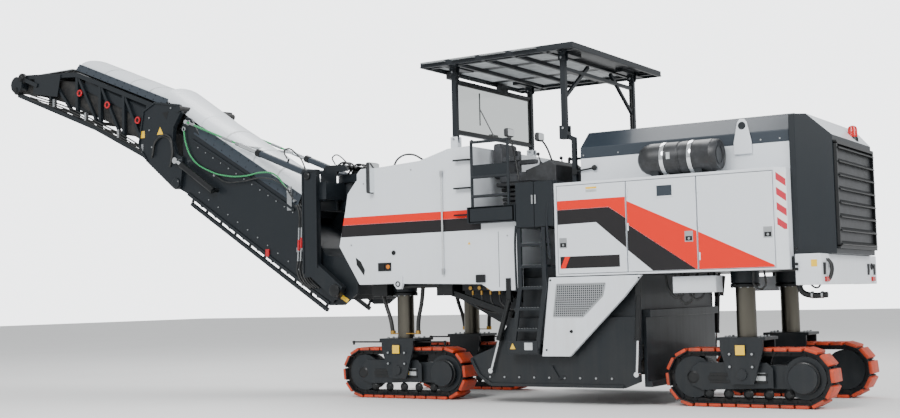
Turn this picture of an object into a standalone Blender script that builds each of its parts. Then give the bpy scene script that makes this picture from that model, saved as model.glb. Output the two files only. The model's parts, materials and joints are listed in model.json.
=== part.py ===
"""Cold planer milling machine on four steered tracks, built from its frame outwards.

Machine frame while modelling: X points to the rear and starts at the rear leg axis, so the
machine drives towards -X. Y = 0 is the middle plane, its left side is at -Y, and Z = 0 is
the ground. At the end everything is moved along X so that the origin is under its middle.
"""

import math

import bmesh
import bpy
from mathutils import Matrix, Vector

# ---------------------------------------------------------------- driving dimensions (metres)

GAP = 0.0003  # between pieces that touch
RUN = 0.0005  # between a rod and its bore
CLEAR = 0.006  # between a panel and its opening

WHEELBASE = 4.28
FRONT_X = -WHEELBASE  # axis of the front legs
GAUGE_FRONT = 1.53
GAUGE_REAR = 1.45

TRACK_HEIGHT = 0.61
TRACK_WIDTH = 0.30
IDLER_REACH = 0.56
SPROCKET_REACH = 0.62
SHOE_COUNT = 26
SHOE_DEPTH = 0.045
LINK_DEPTH = 0.040
SHOE_GROOVE = 0.035
YOKE_TOP = 0.72
YOKE_PLATE = 0.032
YOKE_LENGTH = 0.46

LEG_RADIUS = 0.1025
LEG_TOP = 2.02
LEG_SIDES = 20
LEG_RISE = 0.41  # how far a leg slides up into the machine
GUIDE_WALL = 0.045

DECK_BOTTOM = 1.40
DECK_DEPTH = 0.12
DECK_HALF = 1.02
FRAME_REAR = 0.86
FRAME_FRONT = FRONT_X - 0.32
TUNNEL_HALF = 0.57  # the free space for the belt conveyor between the front legs

HULL_HALF = 1.15
HULL_WALL = 0.03
HULL_REAR = -2.44
HULL_STEP_X = -3.07
PLATFORM_TOP = 2.22
PLATFORM_DEPTH = 0.18
PLATFORM_HALF = 1.25

BODY_FRONT = -1.96
BODY_REAR = 0.60
BODY_HALF = 0.94
BODY_TOP = 2.70
BODY_WALL = 0.04
SIDE_BOX_HALF = 1.22
SIDE_BOX_TOP = 2.42
DOOR_SILL = 1.42
DOOR_THICKNESS = 0.04
PILLAR = 0.05  # half width of the rims and pillars behind the door edges
DOOR_EDGES = (-1.93, -1.10, -0.31, 0.50)  # fore and aft edges of the three side doors

HOOD_FRONT = -1.76
HOOD_HEIGHT = 0.31
HOOD_FLANK = 0.12  # height of its upright lower edge
HOOD_SHOULDER = 0.22  # how far its sloping flank leans in

COWL_REAR = 0.97
COWL_HALF = 0.74
COWL_TOP = 2.97
TAIL_REAR = 0.895
TAIL_HALF = 1.06

DRUM_X = -1.77
DRUM_Z = 0.78
DRUM_RADIUS = 0.51
DRUM_CORE = 0.40
DRUM_HALF = 1.00
HOUSING_FRONT = -2.47
HOUSING_REAR = -1.05
HOUSING_BOTTOM = 0.30
HOUSING_HALF = 1.06
HOUSING_WALL = 0.04
SIDE_PLATE = 0.04
SIDE_PLATE_BOTTOM = 0.19

CANOPY_FRONT = -3.69
CANOPY_REAR = -1.68
CANOPY_HALF = 1.215
CANOPY_TOP = 3.97
CANOPY_EDGE = 0.07
POST_HALF = 0.92
POST_SIZE = 0.06
POST_FRONT_X = -3.40
POST_REAR_X = -1.95
POST_FOOT_Z = 3.06  # height of the fold hinges
POST_HEAD_Z = 3.86  # height of the hinges under the roof
CHEEK = 0.02

SLEW_X = FRONT_X - 1.34  # axis of the mast
BRACKET_LOW, BRACKET_TOP = 2.50, 2.74  # the jaws of the slew bracket
BRACKET_HALF = 0.28
LIFT_X, LIFT_Z = SLEW_X + 0.17, 1.32
FOLD_X, FOLD_Z = SLEW_X - 2.71, 2.90
MAST_HALF = 0.66
MAST_POST = 0.09  # thickness of a post across the machine
MAST_FRONT = SLEW_X - 0.33
MAST_TOP = 2.90
CONVEYOR_HALF = 0.50
BELT_HALF = 0.42
TIP_X = SLEW_X - 6.28
FOLD_CHEEK = 0.55  # outer face of the fold cheeks

LIFT_CYL_X, LIFT_CYL_Z = SLEW_X - 0.25, 2.82  # pins at the top of the mast
STAY_X, STAY_Z = SLEW_X - 2.54, 3.76  # where the stays hold the lower conveyor
FOLD_BASE_X, FOLD_BASE_Z = SLEW_X - 1.95, 2.74
FOLD_EYE_X, FOLD_EYE_Z = SLEW_X - 2.65, 3.21

TIDY = 1e-5  # distance within which loose caps are welded

# ------------------------------------------------------------------------------ workshop tools

for old in list(bpy.data.objects):
    bpy.data.objects.remove(old)
machine = bpy.data.collections.new("cold_planer")
workshop = bpy.data.collections.new("workshop")
bpy.context.scene.collection.children.link(machine)
bpy.context.scene.collection.children.link(workshop)
workshop.hide_render = True


def material(name, colour, roughness, metallic=0.0):
    made = bpy.data.materials.new(name)
    made.use_nodes = True
    shader = made.node_tree.nodes["Principled BSDF"]
    shader.inputs["Base Color"].default_value = (*colour, 1.0)
    shader.inputs["Roughness"].default_value = roughness
    shader.inputs["Metallic"].default_value = metallic
    return made


WHITE = material("white_enamel", (0.70, 0.72, 0.74), 0.35)
CHARCOAL = material("charcoal_enamel", (0.045, 0.06, 0.075), 0.45)
SLATE = material("slate_enamel", (0.08, 0.10, 0.12), 0.45)
STEEL = material("ground_steel", (0.45, 0.45, 0.46), 0.30, 1.0)
CAST = material("cast_steel", (0.09, 0.09, 0.09), 0.60, 0.8)
ORANGE = material("orange_pad", (0.62, 0.10, 0.03), 0.60)
BLACK = material("black_plastic", (0.02, 0.02, 0.02), 0.50)
GLASS = material("tinted_glass", (0.55, 0.62, 0.60), 0.05)
VINYL = material("seat_vinyl", (0.03, 0.03, 0.03), 0.60)
BELT = material("belt_rubber", (0.03, 0.03, 0.03), 0.80)


def held(mesh):
    """Puts a mesh in the workshop as an object at the machine frame's origin."""
    made = bpy.data.objects.new("piece", mesh)
    workshop.objects.link(made)
    return made


def box(corner, opposite):
    lo = Vector(map(min, corner, opposite))
    hi = Vector(map(max, corner, opposite))
    bm = bmesh.new()
    size = Matrix.Diagonal((*(hi - lo), 1.0))
    bmesh.ops.create_cube(bm, size=1.0, matrix=Matrix.Translation((lo + hi) / 2) @ size)
    mesh = bpy.data.meshes.new("box")
    bm.to_mesh(mesh)
    bm.free()
    return held(mesh)


def between(start, end):
    """A matrix whose Z runs from start to end, at their middle, with its Y level where it can be."""
    start, end = Vector(start), Vector(end)
    along = (end - start).normalized()
    side = Vector((0, 1, 0)) if abs(along.y) < 0.9 else Vector((1, 0, 0))
    cross = side.cross(along).normalized()
    turned = Matrix((cross, along.cross(cross), along)).transposed().to_4x4()
    return Matrix.Translation((start + end) / 2) @ turned, (end - start).length


def bar(start, end, depth, width):
    """A square bar: depth lies in its upright plane, width across it."""
    place, length = between(start, end)
    bm = bmesh.new()
    size = Matrix.Diagonal((depth, width, length, 1.0))
    bmesh.ops.create_cube(bm, size=1.0, matrix=place @ size)
    mesh = bpy.data.meshes.new("bar")
    bm.to_mesh(mesh)
    bm.free()
    return held(mesh)


def rod(start, end, radius, sides=16, end_radius=None):
    place, length = between(start, end)
    bm = bmesh.new()
    bmesh.ops.create_cone(
        bm,
        cap_ends=True,
        segments=sides,
        radius1=radius,
        radius2=radius if end_radius is None else end_radius,
        depth=length,
        matrix=place,
    )
    mesh = bpy.data.meshes.new("rod")
    bm.to_mesh(mesh)
    mesh.shade_smooth()
    mesh.set_sharp_from_angle(angle=math.radians(40))
    bm.free()
    return held(mesh)


def bore_radius(pin, sides):
    """A bore whose flats clear the corners of a pin with as many sides."""
    return pin / math.cos(math.pi / sides) + RUN


def from_curve(curve, place):
    """A curve object made a mesh in the machine frame, with its loose caps welded."""
    guide = bpy.data.objects.new("guide", curve)
    workshop.objects.link(guide)
    guide.matrix_world = place
    bpy.context.view_layer.update()
    graph = bpy.context.evaluated_depsgraph_get()
    mesh = bpy.data.meshes.new_from_object(guide.evaluated_get(graph))
    bm = bmesh.new()
    bm.from_mesh(mesh)
    bmesh.ops.transform(bm, matrix=place, verts=bm.verts)
    bmesh.ops.remove_doubles(bm, verts=bm.verts, dist=TIDY)
    bmesh.ops.recalc_face_normals(bm, faces=bm.faces)
    bm.to_mesh(mesh)
    bm.free()
    bpy.data.objects.remove(guide)
    return held(mesh)


PLANES = {  # how a flat outline's own axes lie for each axis that it is extruded along
    "X": Matrix(((0, 0, 1, 0), (1, 0, 0, 0), (0, 1, 0, 0), (0, 0, 0, 1))),
    "Y": Matrix(((1, 0, 0, 0), (0, 0, -1, 0), (0, 1, 0, 0), (0, 0, 0, 1))),
    "Z": Matrix.Identity(4),
}


def slab(axis, start, end, outline, *holes):
    """A flat outline, with holes, extruded along an axis from start to end."""
    curve = bpy.data.curves.new("outline", "CURVE")
    curve.dimensions = "2D"
    curve.fill_mode = "BOTH"
    curve.extrude = abs(end - start) / 2
    for points in (outline, *holes):
        spline = curve.splines.new("POLY")
        spline.points.add(len(points) - 1)
        for knot, (a, b) in zip(spline.points, points):
            knot.co = (a, b, 0, 1)
        spline.use_cyclic_u = True
    middle = Vector([(start + end) / 2 if name == axis else 0 for name in "XYZ"])
    return from_curve(curve, Matrix.Translation(middle) @ PLANES[axis])


def tube(points, radius, resolution=2):
    curve = bpy.data.curves.new("tube", "CURVE")
    curve.dimensions = "3D"
    curve.bevel_depth = radius
    curve.bevel_resolution = resolution
    curve.use_fill_caps = True
    spline = curve.splines.new("POLY")
    spline.points.add(len(points) - 1)
    for knot, point in zip(spline.points, points):
        knot.co = (*point, 1)
    return from_curve(curve, Matrix.Identity(4))


def mirrored(piece):
    """The same piece on the other side of the middle plane."""
    bm = bmesh.new()
    bm.from_mesh(piece.data)
    bmesh.ops.scale(bm, vec=(1, -1, 1), verts=bm.verts)
    bmesh.ops.reverse_faces(bm, faces=bm.faces)
    mesh = bpy.data.meshes.new("mirrored")
    bm.to_mesh(mesh)
    bm.free()
    return held(mesh)


def both(*pieces):
    return [*pieces, *(mirrored(piece) for piece in pieces)]


def combined(base, tools, operation):
    """The base joined with the tools, or cut by them, as a new workshop piece."""
    for tool in tools:
        step = base.modifiers.new(operation.lower(), "BOOLEAN")
        step.operation = operation
        step.solver = "EXACT"
        step.object = tool
    graph = bpy.context.evaluated_depsgraph_get()
    mesh = bpy.data.meshes.new_from_object(base.evaluated_get(graph))
    return held(mesh)


bodies = {}


def body(name, parent, pivot):
    """An empty on a joint's axis, which carries the nodes that move with it."""
    made = bpy.data.objects.new("body_" + name, None)
    made.empty_display_size = 0.2
    machine.objects.link(made)
    pivot = Vector(pivot)
    if parent:
        made.parent = bodies[parent][0]
        made.location = pivot - bodies[parent][1]
    else:
        made.location = pivot
    bodies[name] = (made, pivot)


def node(name, body_name, finish, pieces, cuts=()):
    """One named solid: the pieces joined into one, then cut, with its origin on its joint."""
    solid = pieces[0]
    if len(pieces) > 1:
        solid = combined(solid, pieces[1:], "UNION")
    if cuts:
        solid = combined(solid, cuts, "DIFFERENCE")
    carrier, pivot = bodies[body_name]
    solid.data.transform(Matrix.Translation(-pivot))
    solid.data.materials.clear()
    solid.data.materials.append(finish)
    workshop.objects.unlink(solid)
    machine.objects.link(solid)
    solid.name = name
    solid.data.name = name
    solid.parent = carrier
    for scrap in list(workshop.objects):
        bpy.data.objects.remove(scrap)
    return solid


def arc(centre, radius, first, last, steps):
    """Points on an arc, in degrees, both ends included."""
    turn = [math.radians(first + (last - first) * i / steps) for i in range(steps + 1)]
    return [(centre[0] + radius * math.cos(a), centre[1] + radius * math.sin(a)) for a in turn]


def rectangle(x0, z0, x1, z1):
    return [(x0, z0), (x1, z0), (x1, z1), (x0, z1)]


# --------------------------------------------------------------------------------- bodies

SIDES = {"left": -1, "right": 1}
AXLES = {"front": (FRONT_X, GAUGE_FRONT), "rear": (0.0, GAUGE_REAR)}

body("chassis", None, (0, 0, 0))
for axle, (leg_x, gauge) in AXLES.items():
    for side, sign in SIDES.items():
        place = (leg_x, sign * gauge / 2, YOKE_TOP)
        body(f"{axle}_{side}_leg", "chassis", place)
        body(f"{axle}_{side}_track", f"{axle}_{side}_leg", place)
body("mast", "chassis", (SLEW_X, 0, BRACKET_LOW))
body("lower_conveyor", "mast", (LIFT_X, 0, LIFT_Z))
body("upper_conveyor", "lower_conveyor", (FOLD_X, 0, FOLD_Z))
body("lift_cylinders", "mast", (LIFT_CYL_X, 0, LIFT_CYL_Z))
body("lift_rods", "lift_cylinders", (STAY_X, 0, STAY_Z))
body("fold_cylinders", "lower_conveyor", (FOLD_BASE_X, 0, FOLD_BASE_Z))
body("fold_rods", "fold_cylinders", (FOLD_EYE_X, 0, FOLD_EYE_Z))
body("milling_drum", "chassis", (DRUM_X, 0, DRUM_Z))
body("scraper", "chassis", (HOUSING_REAR, 0, HOUSING_BOTTOM))
body("hood", "chassis", (BODY_REAR, 0, BODY_TOP + HOOD_HEIGHT))
body("canopy_front", "chassis", (POST_FRONT_X, 0, POST_FOOT_Z))
body("canopy_rear", "chassis", (POST_REAR_X, 0, POST_FOOT_Z))
body("canopy_roof", "canopy_front", (POST_FRONT_X, 0, POST_HEAD_Z))

DOOR_NAMES = ("front", "middle", "rear")
DOOR_HINGES = (DOOR_EDGES[1] - CLEAR, DOOR_EDGES[1] + CLEAR, DOOR_EDGES[2] + CLEAR)
for side, sign in SIDES.items():
    body(f"{side}_side_plate", "chassis", (DRUM_X, sign * HOUSING_HALF, SIDE_PLATE_BOTTOM))
    for name, hinge_x in zip(DOOR_NAMES, DOOR_HINGES):
        body(f"{side}_{name}_door", "chassis", (hinge_x, sign * SIDE_BOX_HALF, DOOR_SILL))

# --------------------------------------------------------------------------------- tracks

WHEEL_Z = TRACK_HEIGHT / 2
LOOP_RADIUS = WHEEL_Z - SHOE_DEPTH  # of the line where shoes meet links
INNER_RADIUS = LOOP_RADIUS - LINK_DEPTH


def loop_point(distance, height, leg_x):
    """A point at a distance round the track, at a height outside its link line."""
    straight = IDLER_REACH + SPROCKET_REACH
    half_turn = math.pi * LOOP_RADIUS
    distance %= 2 * (straight + half_turn)
    reach = LOOP_RADIUS + height
    if distance < straight:
        return leg_x - IDLER_REACH + distance, WHEEL_Z - reach
    distance -= straight
    if distance < half_turn:
        turn = distance / LOOP_RADIUS - math.pi / 2
        x = leg_x + SPROCKET_REACH + reach * math.cos(turn)
        return x, WHEEL_Z + reach * math.sin(turn)
    distance -= half_turn
    if distance < straight:
        return leg_x + SPROCKET_REACH - distance, WHEEL_Z + reach
    turn = (distance - straight) / LOOP_RADIUS + math.pi / 2
    x = leg_x - IDLER_REACH + reach * math.cos(turn)
    return x, WHEEL_Z + reach * math.sin(turn)


def shoe_outline(leg_x):
    length = 2 * (IDLER_REACH + SPROCKET_REACH + math.pi * LOOP_RADIUS)
    pitch = length / SHOE_COUNT
    points = []
    for i in range(SHOE_COUNT):
        start = i * pitch + SHOE_GROOVE / 2
        end = (i + 1) * pitch - SHOE_GROOVE / 2
        points.append(loop_point(start, 0, leg_x))
        points.append(loop_point(start, SHOE_DEPTH, leg_x))
        points.append(loop_point(end, SHOE_DEPTH, leg_x))
        points.append(loop_point(end, 0, leg_x))
    return points


def inner_outline(leg_x, radius):
    front = arc((leg_x - IDLER_REACH, WHEEL_Z), radius, 90, 270, 12)
    back = arc((leg_x + SPROCKET_REACH, WHEEL_Z), radius, -90, 90, 12)
    return front + back


def yoke(leg_x, mid_y):
    """The fork that straddles the track, with its pin through the track frame."""
    inside = TRACK_WIDTH / 2 + 0.02
    half = YOKE_LENGTH / 2
    cheek = [
        (leg_x - half, YOKE_TOP),
        (leg_x - half, YOKE_TOP - 0.12),
        (leg_x - 0.12, 0.24),
        (leg_x + 0.12, 0.24),
        (leg_x + half, YOKE_TOP - 0.12),
        (leg_x + half, YOKE_TOP),
    ]
    cheeks = [
        slab("Y", mid_y + s * inside, mid_y + s * (inside + YOKE_PLATE), cheek) for s in (-1, 1)
    ]
    width = inside + YOKE_PLATE
    top = box(
        (leg_x - half - 0.03, mid_y - width, YOKE_TOP - YOKE_PLATE),
        (leg_x + half + 0.03, mid_y + width, YOKE_TOP),
    )
    pin_reach = width + 0.02
    pin = rod((leg_x, mid_y - pin_reach, 0.34), (leg_x, mid_y + pin_reach, 0.34), 0.055)
    return [top, *cheeks, pin]


def track_frame(leg_x, mid_y, sign):
    wheel = INNER_RADIUS - RUN
    half = TRACK_WIDTH / 2 - 0.05
    beam = box(
        (leg_x - IDLER_REACH, mid_y - 0.08, 0.19), (leg_x + SPROCKET_REACH, mid_y + 0.08, 0.43)
    )
    pieces = [beam]
    for x in (leg_x - IDLER_REACH, leg_x + SPROCKET_REACH):
        pieces.append(
            rod((x, mid_y - half, WHEEL_Z), (x, mid_y + half, WHEEL_Z), wheel, sides=24)
        )
    drive_x = leg_x + SPROCKET_REACH
    drive = (drive_x, mid_y, WHEEL_Z), (drive_x, mid_y + sign * 0.19, WHEEL_Z)
    return [*pieces, rod(*drive, 0.15, sides=20), *yoke(leg_x, mid_y)]


for axle, (leg_x, gauge) in AXLES.items():
    for side, sign in SIDES.items():
        mid_y = sign * gauge / 2
        mover = f"{axle}_{side}_track"
        loop = slab(
            "Y",
            mid_y - TRACK_WIDTH / 2,
            mid_y + TRACK_WIDTH / 2,
            shoe_outline(leg_x),
            inner_outline(leg_x, INNER_RADIUS),
        )
        node(f"{axle}_{side}_shoes", mover, ORANGE, [loop])
        node(f"{axle}_{side}_track_frame", mover, CHARCOAL, track_frame(leg_x, mid_y, sign))
        column = rod(
            (leg_x, mid_y, YOKE_TOP + GAP), (leg_x, mid_y, LEG_TOP), LEG_RADIUS, sides=LEG_SIDES
        )
        node(f"{axle}_{side}_leg_tube", f"{axle}_{side}_leg", STEEL, [column])

# ------------------------------------------------------------------------------- chassis frame

DECK_TOP = DECK_BOTTOM + DECK_DEPTH


def chassis_frame():
    """Two side girders joined behind the conveyor tunnel, with a guide tube for each leg."""
    girder_rear = HULL_REAR - 0.6
    girders = both(
        box((FRAME_FRONT, TUNNEL_HALF, DECK_BOTTOM), (girder_rear + 0.1, DECK_HALF, DECK_TOP))
    )
    deck = box((girder_rear, -DECK_HALF, DECK_BOTTOM), (FRAME_REAR, DECK_HALF, DECK_TOP))
    guides, bores = [], []
    for leg_x, gauge in AXLES.values():
        guide = (leg_x, gauge / 2, DECK_BOTTOM - 0.12), (leg_x, gauge / 2, LEG_TOP - 0.10)
        bore = (leg_x, gauge / 2, 1.0), (leg_x, gauge / 2, 3.2)
        guides += both(rod(*guide, LEG_RADIUS + GUIDE_WALL, sides=LEG_SIDES))
        bores += both(rod(*bore, LEG_RADIUS + RUN, sides=LEG_SIDES))
    return [deck, *girders, *guides], bores


node("chassis_frame", "chassis", CHARCOAL, *chassis_frame())

# ---------------------------------------------------------------------------------- front hull

HULL_PROFILE = [
    (FRONT_X + 0.11, 1.375),
    (FRONT_X - 0.41, 1.375),
    (FRONT_X - 0.71, 1.85),
    (FRONT_X - 0.61, 2.28),
    (FRONT_X - 0.57, 2.49),
    (FRONT_X - 0.44, 2.64),
    (FRONT_X - 0.17, 2.78),
    (-3.78, 2.82),
    (-3.38, 2.93),
    (HULL_STEP_X, 2.94),
    (HULL_STEP_X, PLATFORM_TOP - PLATFORM_DEPTH - GAP),
    (HULL_REAR, PLATFORM_TOP - PLATFORM_DEPTH - GAP),
    (HULL_REAR, 1.26),
    (-2.83, 1.26),
    (-2.96, 1.34),
]


def post_feet(x, floor):
    """Pairs of cheeks that hold the foot hinges of two canopy posts, on a block at the floor."""
    inner = POST_SIZE / 2 + GAP
    made = [box((x - 0.05, POST_HALF - inner - CHEEK, floor), (x + 0.05, POST_HALF + inner + CHEEK, POST_FOOT_Z - 0.04))]
    for side in (-1, 1):
        start = POST_HALF + side * inner
        made.append(box((x - 0.05, start, floor), (x + 0.05, start + side * CHEEK, POST_FOOT_Z + 0.03)))
    return both(*made)


def front_hull():
    shell = slab("Y", -HULL_HALF, HULL_HALF, HULL_PROFILE)
    inner = HULL_HALF - HULL_WALL
    cavity = [
        (FRONT_X - 0.34, 1.0),
        (FRONT_X - 0.34, 1.44),
        (FRONT_X - 0.66, 1.88),
        (FRONT_X - 0.54, 2.46),
        (FRONT_X - 0.41, 2.60),
        (FRONT_X - 0.16, 2.74),
        (-3.78, 2.78),
        (-3.38, 2.89),
        (HULL_STEP_X - HULL_WALL, 2.90),
        (HULL_STEP_X - HULL_WALL, 2.00),
        (HULL_REAR - HULL_WALL, 2.00),
        (HULL_REAR - HULL_WALL, 1.0),
    ]
    hollow = slab("Y", -inner, inner, cavity)
    mouth = box((FRONT_X - 0.92, -TUNNEL_HALF, 1.2), (FRONT_X - 0.02, TUNNEL_HALF, 2.42))
    seat = box((FRONT_X - 0.92, -BRACKET_HALF - GAP, 2.3), (FRAME_FRONT + GAP, BRACKET_HALF + GAP, 3.0))
    low_half = HOUSING_HALF + 0.02
    step = box((HULL_REAR - 0.1, -low_half, 1.0), (HULL_REAR + 0.1, low_half, DECK_TOP + 0.005))
    return [shell, *post_feet(POST_FRONT_X, 2.88)], [hollow, mouth, seat, step]


node("front_hull", "chassis", WHITE, *front_hull())

# ------------------------------------------------------------------------ engine compartment


DOOR_HEAD = SIDE_BOX_TOP - 0.03


def engine_body():
    """The walls round the engine: flat sides with a box of doors standing out of each."""
    top = BODY_TOP
    core = slab(
        "Y",
        -BODY_HALF,
        BODY_HALF,
        [
            (BODY_FRONT, DECK_TOP + GAP),
            (BODY_REAR, DECK_TOP + GAP),
            (BODY_REAR, top),
            (HOOD_FRONT, top),
            (HOOD_FRONT, SIDE_BOX_TOP),
            (BODY_FRONT, SIDE_BOX_TOP),
        ],
    )
    pods = both(
        slab(
            "Z",
            DECK_BOTTOM,
            SIDE_BOX_TOP,
            [
                (BODY_FRONT, DECK_HALF + CLEAR),
                (BODY_FRONT, SIDE_BOX_HALF),
                (DOOR_EDGES[3] + 0.02, SIDE_BOX_HALF),
                (BODY_REAR, SIDE_BOX_HALF - 0.12),
                (BODY_REAR, DECK_HALF + CLEAR),
            ],
        )
    )
    ledges = both(
        box((BODY_FRONT, BODY_HALF - 0.02, DECK_TOP + 0.01), (BODY_REAR, DECK_HALF + 0.05, SIDE_BOX_TOP))
    )
    room = box(
        (BODY_FRONT + BODY_WALL, -BODY_HALF + BODY_WALL, 1.0),
        (BODY_REAR - BODY_WALL, BODY_HALF - BODY_WALL, top - BODY_WALL),
    )
    attic = box(
        (HOOD_FRONT + BODY_WALL, -BODY_HALF + BODY_WALL, 2.0),
        (BODY_REAR - BODY_WALL, BODY_HALF - BODY_WALL, top + 0.2),
    )
    recess = SIDE_BOX_HALF - DOOR_THICKNESS - RUN
    recesses = both(
        box((DOOR_EDGES[0], recess, DOOR_SILL), (DOOR_EDGES[3], SIDE_BOX_HALF + 0.05, DOOR_HEAD))
    )
    pockets = both(
        box(
            (BODY_FRONT + BODY_WALL, 0.8, DOOR_SILL + 0.01),
            (DOOR_EDGES[3], recess - 0.04, DOOR_HEAD - 0.01),
        )
    )
    gates = []
    for fore, aft in zip(DOOR_EDGES, DOOR_EDGES[1:]):
        gates += both(
            box(
                (fore + PILLAR, recess - 0.06, DOOR_SILL + PILLAR),
                (aft - PILLAR, recess + 0.02, DOOR_HEAD - PILLAR),
            )
        )
    guide = LEG_RADIUS + GUIDE_WALL + CLEAR
    wells = both(rod((0, GAUGE_REAR / 2, 1.0), (0, GAUGE_REAR / 2, LEG_TOP + LEG_RISE), guide))
    return [core, *pods, *ledges], [room, attic, *wells, *recesses, *pockets, *gates]


node("engine_body", "chassis", WHITE, *engine_body())
node(
    "engine_block",
    "chassis",
    CAST,
    [box((-1.55, -0.45, DECK_TOP + GAP), (0.25, 0.45, DECK_TOP + 0.95))],
)

for side, sign in SIDES.items():
    for name, fore, aft in zip(DOOR_NAMES, DOOR_EDGES, DOOR_EDGES[1:]):
        leaf = box(
            (fore + CLEAR, sign * SIDE_BOX_HALF, DOOR_SILL + CLEAR),
            (aft - CLEAR, sign * (SIDE_BOX_HALF - DOOR_THICKNESS), DOOR_HEAD - CLEAR),
        )
        node(f"{side}_{name}_door_panel", f"{side}_{name}_door", WHITE, [leaf])


def hood():
    """A shell with upright edges and sloping flanks, open below."""
    base = BODY_TOP + GAP
    crown = base + HOOD_HEIGHT

    def section(inset, drop, floor):
        return [
            (-BODY_HALF + inset, floor),
            (BODY_HALF - inset, floor),
            (BODY_HALF - inset, base + HOOD_FLANK),
            (BODY_HALF - HOOD_SHOULDER - inset / 2, crown - drop),
            (-BODY_HALF + HOOD_SHOULDER + inset / 2, crown - drop),
            (-BODY_HALF + inset, base + HOOD_FLANK),
        ]

    shell = slab("X", HOOD_FRONT, BODY_REAR - CLEAR, section(0, 0, base))
    hollow = slab(
        "X", HOOD_FRONT + BODY_WALL, BODY_REAR - CLEAR - BODY_WALL, section(0.03, 0.03, base - 0.2)
    )
    return [shell], [hollow]


node("engine_hood", "hood", SLATE, *hood())


def rear_cowl():
    """The cooler housing: tapered in plan, with a sloping top and a louvred back."""
    plan = [
        (BODY_REAR + GAP, -BODY_HALF - 0.03),
        (0.66, -BODY_HALF - 0.03),
        (COWL_REAR, -COWL_HALF),
        (COWL_REAR, COWL_HALF),
        (0.66, BODY_HALF + 0.03),
        (BODY_REAR + GAP, BODY_HALF + 0.03),
    ]
    block = slab("Z", DECK_TOP + 0.03 + GAP, COWL_TOP, plan)
    slope = slab("Y", -1.2, 1.2, [(0.75, COWL_TOP + 0.01), (1.1, 2.62), (1.1, 3.2), (0.75, 3.2)])
    return [block], [slope]


node("rear_cowl", "chassis", CHARCOAL, *rear_cowl())


def tail_box():
    sill = DECK_TOP + 0.03
    upper = box((FRAME_REAR + GAP, -TAIL_HALF, 1.24), (TAIL_REAR, TAIL_HALF, sill))
    shelf = box((0.64, -TAIL_HALF, DECK_TOP + GAP), (FRAME_REAR + 0.01, TAIL_HALF, sill))
    cheeks = both(box((0.64, DECK_HALF + GAP, 1.24), (FRAME_REAR + 0.01, TAIL_HALF, sill)))
    return [upper, shelf, *cheeks]


node("tail_box", "chassis", WHITE, tail_box())

# ------------------------------------------------------------------------ milling unit


def drum_housing():
    walls = [
        box(
            (HOUSING_FRONT, -HOUSING_HALF, HOUSING_BOTTOM + 0.35),
            (HOUSING_FRONT + HOUSING_WALL, HOUSING_HALF, DECK_BOTTOM - GAP),
        ),
        box(
            (HOUSING_REAR - HOUSING_WALL, -HOUSING_HALF, HOUSING_BOTTOM + 0.35),
            (HOUSING_REAR, HOUSING_HALF, DECK_BOTTOM - GAP),
        ),
        box(
            (HOUSING_FRONT, -HOUSING_HALF, DECK_BOTTOM - 0.05),
            (HOUSING_REAR, HOUSING_HALF, DECK_BOTTOM - GAP),
        ),
    ]
    side = [
        (HOUSING_FRONT, HOUSING_BOTTOM + 0.2),
        (HOUSING_FRONT + 0.3, HOUSING_BOTTOM),
        (HOUSING_REAR - 0.3, HOUSING_BOTTOM),
        (HOUSING_REAR, HOUSING_BOTTOM + 0.2),
        (HOUSING_REAR, DECK_BOTTOM - GAP),
        (HOUSING_FRONT, DECK_BOTTOM - GAP),
    ]
    cheeks = both(slab("Y", HOUSING_HALF - HOUSING_WALL, HOUSING_HALF, side))
    axle_ends = both(
        rod(
            (DRUM_X, HOUSING_HALF - 0.01, DRUM_Z),
            (DRUM_X, DRUM_HALF + GAP, DRUM_Z),
            0.20,
            sides=20,
        )
    )
    window = box(
        (HOUSING_FRONT - 0.1, -TUNNEL_HALF + 0.02, HOUSING_BOTTOM + 0.2),
        (HOUSING_FRONT + 0.1, TUNNEL_HALF - 0.02, 1.22),
    )
    return [*walls, *cheeks, *axle_ends], [window]


node("drum_housing", "chassis", CHARCOAL, *drum_housing())


def milling_drum():
    """A steel tube with tool holders set on two flights that carry the millings to the middle."""
    core = rod((DRUM_X, -DRUM_HALF, DRUM_Z), (DRUM_X, DRUM_HALF, DRUM_Z), DRUM_CORE, sides=28)
    holders = []
    rows = 14
    for side in (-1, 1):
        for i in range(rows):
            along = side * (0.05 + (DRUM_HALF - 0.10) * i / (rows - 1))
            for start in (0, 180):
                turn = math.radians(start + side * i * 38)
                out = Vector((math.cos(turn), 0, math.sin(turn)))
                foot = Vector((DRUM_X, along, DRUM_Z)) + out * (DRUM_CORE - 0.03)
                holders.append(bar(foot, foot + out * (DRUM_RADIUS - DRUM_CORE + 0.03), 0.09, 0.05))
    return [core, *holders]


node("milling_drum_body", "milling_drum", CAST, milling_drum())

for side, sign in SIDES.items():
    inner = sign * (HOUSING_HALF + RUN)
    outline = [
        (-3.16, 0.50),
        (-3.05, 0.30),
        (-2.90, SIDE_PLATE_BOTTOM),
        (HOUSING_REAR - 0.18, SIDE_PLATE_BOTTOM),
        (HOUSING_REAR, 0.26),
        (HOUSING_REAR, 0.95),
        (-2.60, 0.95),
        (-2.85, 0.62),
        (-3.02, 0.56),
    ]
    plate = slab("Y", inner, inner + sign * SIDE_PLATE, outline)
    node(f"{side}_side_plate_skid", f"{side}_side_plate", CHARCOAL, [plate])

gate = box(
    (HOUSING_REAR + RUN, -DRUM_HALF, 0.20), (HOUSING_REAR + 0.04, DRUM_HALF, 1.02)
)
lip = box((HOUSING_REAR + RUN, -DRUM_HALF, 0.20), (HOUSING_REAR + 0.09, DRUM_HALF, 0.26))
rib = box((HOUSING_REAR + RUN, -DRUM_HALF, 0.94), (HOUSING_REAR + 0.09, DRUM_HALF, 1.02))
node("scraper_blade", "scraper", CHARCOAL, [gate, lip, rib])


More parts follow.
